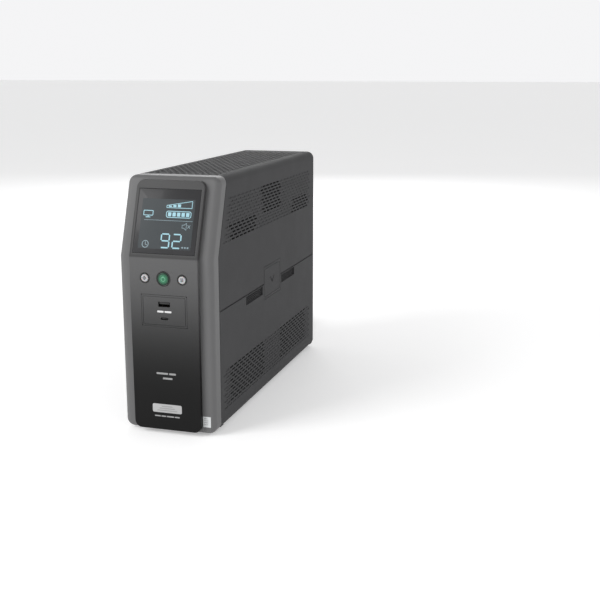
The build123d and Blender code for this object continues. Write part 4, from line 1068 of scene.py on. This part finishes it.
def make_front_sockets():
    """The socket plate with a charging socket above a narrower reversible one."""
    panel = plate(*SOCKET_PLATE, 1.6)
    groove = plate(46.0, 29.3, 0.8, 1.2, line=0.55)
    carved(panel, settle(groove, Matrix.Translation((0, 0, 1.55))))
    for _, up, opening, _, corner, _, _, _ in PORTS:
        hole = plate(*opening, 4.0, corner, steps=6)
        carved(panel, settle(hole, Matrix.Translation((0, up, -1.0))))
    rounded(panel, 0.12, 1, radians(60))
    panel = painted(smooth(on(FRONT, panel, 0, USB_PLATE_Z, -SOCKET_PLATE[2])), "fascia")
    finished(panel, "socket_plate", "unit", ["usb_plate"])
    marks = words(FRONT, -7.6, USB_PLATE_Z - 0.6, (6.8, 7.4), 1.9, PRINT)
    finished(painted(joined(marks), "white_mark"), "socket_printing", "unit")
    for node, up, (width, height), deep, _, corner, tongue, lift in PORTS:
        shell = rounded(plate(width, height, deep, corner, 0.35, 6), 0.1, 1, radians(60))
        back = plate(width - 0.5, height - 0.5, 0.4, corner)
        half, low, high = tongue[0] / 2, lift - tongue[1] / 2, lift + tongue[1] / 2
        bar = between((-half, low, 0.2), (half, high, deep - 0.9), 0.15)
        pieces = [painted(shell, "dull_steel"), painted(back, "socket"), painted(bar, "socket")]
        for x in (-3.6, -1.2, 1.2, 3.6):
            if abs(x) < half:
                pad = between((x - 0.5, low - 0.06, 2.0), (x + 0.5, low + 0.1, deep - 1.6))
                pieces.append(painted(pad, "gold"))
        socket = smooth(on(FRONT, joined(pieces), 0, USB_PLATE_Z + up, -deep))
        finished(socket, node + "_socket", "unit", [node])


# ======== Rear ========

def refined(node, look, edge=0.0):
    """A CAD node carried over with soft edges and its finish."""
    obj = merged_copy(node)
    if edge:
        rounded(obj, edge, 2, radians(60))
    return finished(painted(levelled(obj), look), node + "_piece", "unit", [node])


def make_rear():
    """Rear panel with its sockets, fittings, screws and printing."""
    refined("rear_panel", "panel")
    refined("outlet_bank_right", "panel", 0.12)
    refined("outlet_bank_left", "panel", 0.12)
    refined("network_jacks", "socket", 0.2)
    refined("data_port_jack", "socket", 0.2)
    make_coax()
    make_terminal()
    make_lamp()
    make_breaker()
    make_screws()
    make_rear_printing()
    make_relief()


def make_coax():
    """Two threaded gold barrels with hexagon nuts and a brown insulator in the mouth."""
    corner = NUT_ACROSS_FLATS / 2 / cos(pi / 6)
    nut = turned([(corner, 0.0), (corner, 1.9), (corner - 0.7, 2.5), (4.8, 2.5), (4.6, 2.2)], 6)
    thread = [(4.45, 0.5), (4.45, 2.6)]
    for turn in range(THREAD_TURNS):
        base = 3.0 + 0.82 * turn
        thread += [(4.35, base), (4.68, base + 0.3), (4.68, base + 0.42), (4.35, base + 0.7)]
    mouth = [(4.45, 11.5), (4.2, 11.95), (3.75, 12.0), (3.65, 11.8), (3.65, 9.0)]
    barrel = turned(thread + mouth, 40)
    washer = turned([(5.9, 0.0), (5.9, 0.35), (5.6, 0.5), (4.6, 0.5)], 40)
    core = turned([(3.6, 9.0), (3.6, 11.3), (3.3, 11.45), (1.1, 11.45), (0.7, 11.0), (0.65, 9.4)], 32)
    plated = [painted(piece, "gold") for piece in (nut, barrel, washer)]
    left = joined(plated + [painted(core, "insulator")])
    settle(left, Matrix.Rotation(pi / 6, 4, "Z"))
    right = copy_of(left)
    pair = joined([on(REAR, left, COAX_X, COAX_Z), on(REAR, right, -COAX_X, COAX_Z, 0, radians(20))])
    finished(smooth(pair, radians(40)), "coax_pair", "unit", ["coax_connectors"])


def cross_cutter(length, thick, deep, top):
    """A cross-shaped cutter that reaches down from a height."""
    arms = [between((-length / 2, -thick / 2, top - deep), (length / 2, thick / 2, top + 1.0)),
            between((-thick / 2, -length / 2, top - deep), (thick / 2, length / 2, top + 1.0))]
    return modified(arms[0], "BOOLEAN", operation="UNION", solver="EXACT", object=arms[1]), arms[1]


def screw_head(radius, low, top, recess):
    """A domed head with a cross recess."""
    height = top - low
    head = turned([(radius, low), (radius, low + height * 0.35), (radius * 0.93, low + height * 0.62),
                   (radius * 0.75, low + height * 0.85), (radius * 0.45, top - 0.03), (radius * 0.1, top)], 40)
    cutter, spare = cross_cutter(recess, recess * 0.27, 1.3, top)
    bpy.data.objects.remove(spare)
    return carved(head, cutter)


def make_terminal():
    """Bright earth terminal: a square washer under a cross-head screw."""
    washer = rounded(plate(7.5, 7.5, 1.2, 0.5), 0.2)
    head = settle(screw_head(3.25, 1.2, 3.9, 3.6), Matrix.Rotation(radians(25), 4, "Z"))
    terminal = painted(joined([washer, head]), "steel")
    terminal = smooth(on(REAR, terminal, *TERMINAL_PLACE))
    finished(terminal, "earth_terminal", "unit", ["ground_terminal"])


def make_lamp():
    """Red lens in a thin black collar."""
    lens = turned([(2.6, -5.0), (2.6, 0.4), (2.45, 0.7), (2.0, 0.9), (1.2, 0.98), (0.2, 1.0)])
    collar = turned([(2.8, -3.0), (2.8, 0.2), (2.7, 0.35), (2.6, 0.3), (2.6, -3.0), (2.8, -3.0)], 48, True)
    lamp = joined([painted(lens, "lamp"), painted(collar, "socket")])
    finished(smooth(on(REAR, lamp, *LAMP_PLACE)), "lamp_lens", "unit", ["fault_lamp"])


def make_breaker():
    """Ring nut, threaded neck and case of the breaker, and its button."""
    neck = turned([(6.5, -10.0), (6.5, 0.0), (9.25, 0.0), (9.25, 1.4), (9.1, 1.8), (8.7, 2.0), (7.2, 2.0),
                   (6.9, 1.7), (6.5, 1.7), (6.5, 2.9), (6.3, 3.15), (6.0, 3.2), (4.4, 3.2), (4.1, 3.05),
                   (3.98, 2.7), (3.98, -10.0), (6.5, -10.0)], 64, True)
    case = between((-7.0, -16.0, -31.0), (7.0, 16.0, -3.0), 1.0)
    carved(case, turned([(6.6, -11.0), (6.6, 1.0)], 48))
    body = joined([painted(neck, "socket"), painted(case, "part")])
    finished(smooth(on(REAR, body, 0, BREAKER_Z)), "breaker_case", "unit", ["breaker_body"])
    cap = turned([(3.65, -9.7), (3.65, 3.9), (3.5, 4.35), (3.1, 4.6), (2.6, 4.6), (2.2, 4.35), (0.3, 4.2)])
    cap = painted(smooth(on(REAR, cap, 0, BREAKER_Z)), "gloss_black")
    finished(cap, "breaker_cap", "breaker_button", ["breaker_button"])


def make_screws():
    """Six black screws, each in a collar that lines its recess."""
    head = painted(screw_head(2.8, -2.2, -0.4, 3.3), "screw")
    collar = turned([(3.95, -2.15), (3.95, -0.1), (3.8, 0.0), (3.4, -0.5), (3.3, -2.15),
                     (3.95, -2.15)], 40, True)
    shank = painted(turned([(1.5, -12.4), (1.5, -2.0)], 24), "screw")
    model = joined([head, painted(collar, "gloss_black"), shank])
    screws = []
    for index, z in enumerate(SCREW_HEIGHTS):
        for side in (-1, 1):
            turn = radians(31.0 * index + 17.0 * side)
            screws.append(on(REAR, copy_of(model), side * SCREW_X, z, 0, turn))
    bpy.data.objects.remove(model)
    finished(smooth(joined(screws)), "panel_screws", "unit", ["rear_screws"])


def bracket_line(across, top, bottom, top_hook, bottom_hook):
    """A long printed line, with a short hook at each end that has one."""
    upper = top - HOOK_RISE if top_hook else top
    lower = bottom + HOOK_RISE if bottom_hook else bottom
    lines = [stroke(REAR, (across, upper), (across, lower), LINE_WIDTH, PRINT)]
    for hook, start, end in ((top_hook, upper, top), (bottom_hook, lower, bottom)):
        if hook:
            lines.append(stroke(REAR, (across, start), (across + hook, end), HOOK_WIDTH, PRINT))
    return lines


def arrow_mark(across, up):
    """A ring with an arrow out of it."""
    ring = on(REAR, plate(3.2, 3.2, PRINT, 1.55, 0.45), across, up)
    tip = (across + 3.0, up)
    lines = [((across + 0.6, up), tip), ((across + 2.0, up + 0.9), tip), ((across + 2.0, up - 0.9), tip)]
    return [ring] + [stroke(REAR, start, end, 0.45, PRINT) for start, end in lines]


def make_rear_printing():
    """White lines around the outlet groups, and plain bars where the labels are."""
    marks = []
    for line in REAR_LINES:
        marks += bracket_line(*line)
    for left, up, lengths, height in REAR_WORDS:
        marks += words(REAR, left, up, lengths, height, PRINT)
    for left, up, lengths in UPRIGHT_WORDS:
        marks += words(REAR, left, up, lengths, 1.8, PRINT, 0, pi / 2)
    for across, up in ARROWS:
        marks += arrow_mark(across, up)
    finished(painted(joined(marks), "white_mark"), "rear_printing", "unit")
    label = [painted(on(REAR, plate(25.0, 14.0, PRINT, 0.8), 0, 239.3), "label_dark")]
    for row, lengths in enumerate(((9.0, 8.0), (14.0,), (6.0, 6.0, 4.0))):
        for bar in words(REAR, -10.5, 243.0 - 3.4 * row, lengths, 0.7, 0.03, PRINT):
            label.append(painted(bar, "panel"))
    finished(joined(label), "rear_label", "unit")


def make_relief():
    """Tapered strain relief: a flange and five soft ribs around the cord."""
    steps = [(9.8, -6.85), (9.8, 0.6), (9.5, 1.0), (7.4, 1.0)]
    step = RELIEF_LENGTH / (2 * RELIEF_RIBS)
    for index in range(RELIEF_RIBS):
        wide = 8.5 - 2.0 * index / (RELIEF_RIBS - 1)
        start = 1.0 + 2 * index * step
        end = start + 2 * step
        steps += [(wide - 1.0, start + 0.3), (wide - 1.0, start + step - 0.3),
                  (wide - 0.3, start + step), (wide, start + step + 0.4),
                  (wide, end - 0.5), (wide - 0.4, end - 0.05)]
    steps += [(4.6, 30.0), (4.35, 29.9)]
    relief = painted(smooth(on(REAR, turned(steps, 56), 0, CORD_EXIT[2]), radians(50)), "jacket")
    finished(relief, "relief_sleeve", "unit", ["strain_relief"])


# ======== Cord pieces ========

def make_tie():
    """A strap around the coil, with its buckle on top."""
    middle_y = COIL_CENTRE[1] + COIL_MIDDLE_RADIUS
    face = facing((COIL_CENTRE[0] - 6.0, middle_y, 13.3), (0, 1, 0), (0, 0, 1))
    strap = rounded(plate(18.8, 26.6, 12.0, 3.6, 0.8, 6), 0.2, 2, radians(60))
    buckle = between((-4.0, 13.0, -0.6), (4.0, 14.6, 12.6), 0.5)
    tail = between((-9.6, 10.0, 2.4), (-8.9, 13.4, 9.6), 0.25)
    tie = smooth(joined([painted(strap, "strap"), painted(buckle, "part"), painted(tail, "strap")]))
    return finished(settle(tie, face), "tie_strap", "unit", ["coil_tie"])


def make_plug():
    """Moulded three-pin plug on the cord's end."""
    x, end_y, z = TAIL[-1]
    face = facing((x, end_y - PLUG_LENGTH, z), (-1, 0, 0), (0, 0, 1))
    deselect()
    bpy.ops.mesh.primitive_plane_add(size=PLUG_SIZE)
    outline = fresh()
    bpy.ops.object.mode_set(mode="EDIT")
    bpy.ops.mesh.select_all(action="SELECT")
    bpy.ops.mesh.bevel(offset=5.0, segments=5, affect="VERTICES")
    bpy.ops.object.mode_set(mode="OBJECT")
    body = drawn_out(outline, ((1.0, 7.5), (0.985, 8.3), (0.94, 8.6), (0.90, 12.0), (0.86, 18.0),
                               (0.86, 22.0), (0.89, 28.0), (0.90, 30.0), (0.86, 33.5),
                               (0.74, 36.5), (0.60, 37.8), (0.5, 38.0)))
    collar = []
    for rib in range(4):
        base = 38.4 + 3.2 * rib
        wide = 6.2 - 0.25 * rib
        collar += [(5.0, base), (wide, base + 0.5), (wide, base + 1.9), (5.0, base + 2.4)]
    neck = turned([(6.3, 37.0)] + collar + [(4.8, 51.2), (4.5, PLUG_LENGTH)], 40)
    plug = painted(smooth(joined([body, neck]), radians(45)), "jacket")
    plug = finished(settle(plug, face), "plug_moulding", "unit", ["plug_body"])
    blade = rounded(between((-0.75, -3.175, -17.0), (0.75, 3.175, 0.5)), 0.3, 2)
    hole = turned([(1.6, -2.0), (1.6, 2.0)], 24)
    carved(blade, settle(hole, Matrix.Translation((0, 0, -13.5)) @ Matrix.Rotation(pi / 2, 4, "Y")))
    pair = [settle(copy_of(blade), face @ Matrix.Translation((side * BLADE_SPREAD, -3.0, 0)))
            for side in (-1, 1)]
    bpy.data.objects.remove(blade)
    pair = painted(smooth(joined(pair)), "steel")
    blades = finished(pair, "blade_pair", "unit", ["plug_blades"])
    pin = turned([(2.4, 0.5), (2.4, -18.2), (2.2, -19.2), (1.6, -19.8), (0.8, -20.0)], 32)
    pin = painted(smooth(settle(pin, face @ Matrix.Translation((0, 7.5, 0)))), "steel")
    return [plug, blades, finished(pin, "earth_pin", "unit", ["plug_ground_pin"])]


# ======== Inside ========

def make_batteries():
    """Two sealed batteries: case, lid with its seam, label and filler strip."""
    for node in ("battery_front", "battery_rear"):
        low, high = [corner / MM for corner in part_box(node)]
        seam = high.z - 9.0
        case = painted(between(low, (high.x, high.y, seam), 1.6, 3), "battery")
        lid = between((low.x + 0.1, low.y + 0.1, seam - 0.1), (high.x - 0.1, high.y - 0.1, high.z), 1.4, 3)
        strip = between((low.x + 22, low.y + 14, high.z - 0.5),
                        (high.x - 22, high.y - 14, high.z - 0.01), 0.2)
        side = facing((high.x, 0, 0), (0, 1, 0), (0, 0, 1))
        middle = (low.y + high.y) / 2
        label = [painted(on(side, plate(96.0, 46.0, 0.08, 2.0), middle, 52.0), "label")]
        for row, lengths in enumerate(((30.0, 22.0), (46.0,), (18.0, 26.0), (52.0,))):
            for bar in words(side, middle - 40.0, 66.0 - 9.0 * row, lengths, 2.4, 0.04, 0.08):
                label.append(painted(bar, "label_dark"))
        pieces = [case, painted(lid, "battery"), painted(strip, "part")] + label
        finished(smooth(joined(pieces)), node + "_case", "battery_cartridge", [node])


INNER_FINISHES = {
    "lcd_module": "lcd", "display_board": "circuit", "button_switches": "part", "button_board": "circuit",
    "usb_board": "circuit", "live_contacts": "bronze", "neutral_contacts": "bronze", "ground_contacts": "bronze",
    "jack_contacts": "gold", "inner_chassis": "chassis", "battery_tabs": "steel", "battery_plug": "part",
    "battery_socket": "part", "transformer_core": "core", "transformer_winding": "copper",
    "transformer_bracket": "steel", "main_board": "circuit", "board_posts": "steel", "heat_sinks": "aluminium",
    "capacitors": "gloss_black", "relays": "relay", "choke": "copper", "buzzer": "part",
}


def finish_inner_nodes():
    """The carried-over nodes get their finishes in their own slots."""
    for node, look in INNER_FINISHES.items():
        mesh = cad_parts[node].data
        mesh.materials.clear()
        mesh.materials.append(looks[look])


looks = make_looks()
make_camera()
make_studio()
make_cord()
make_casing()
make_front()
make_rear()
make_batteries()
refined("rubber_feet", "rubber")
finish_inner_nodes()
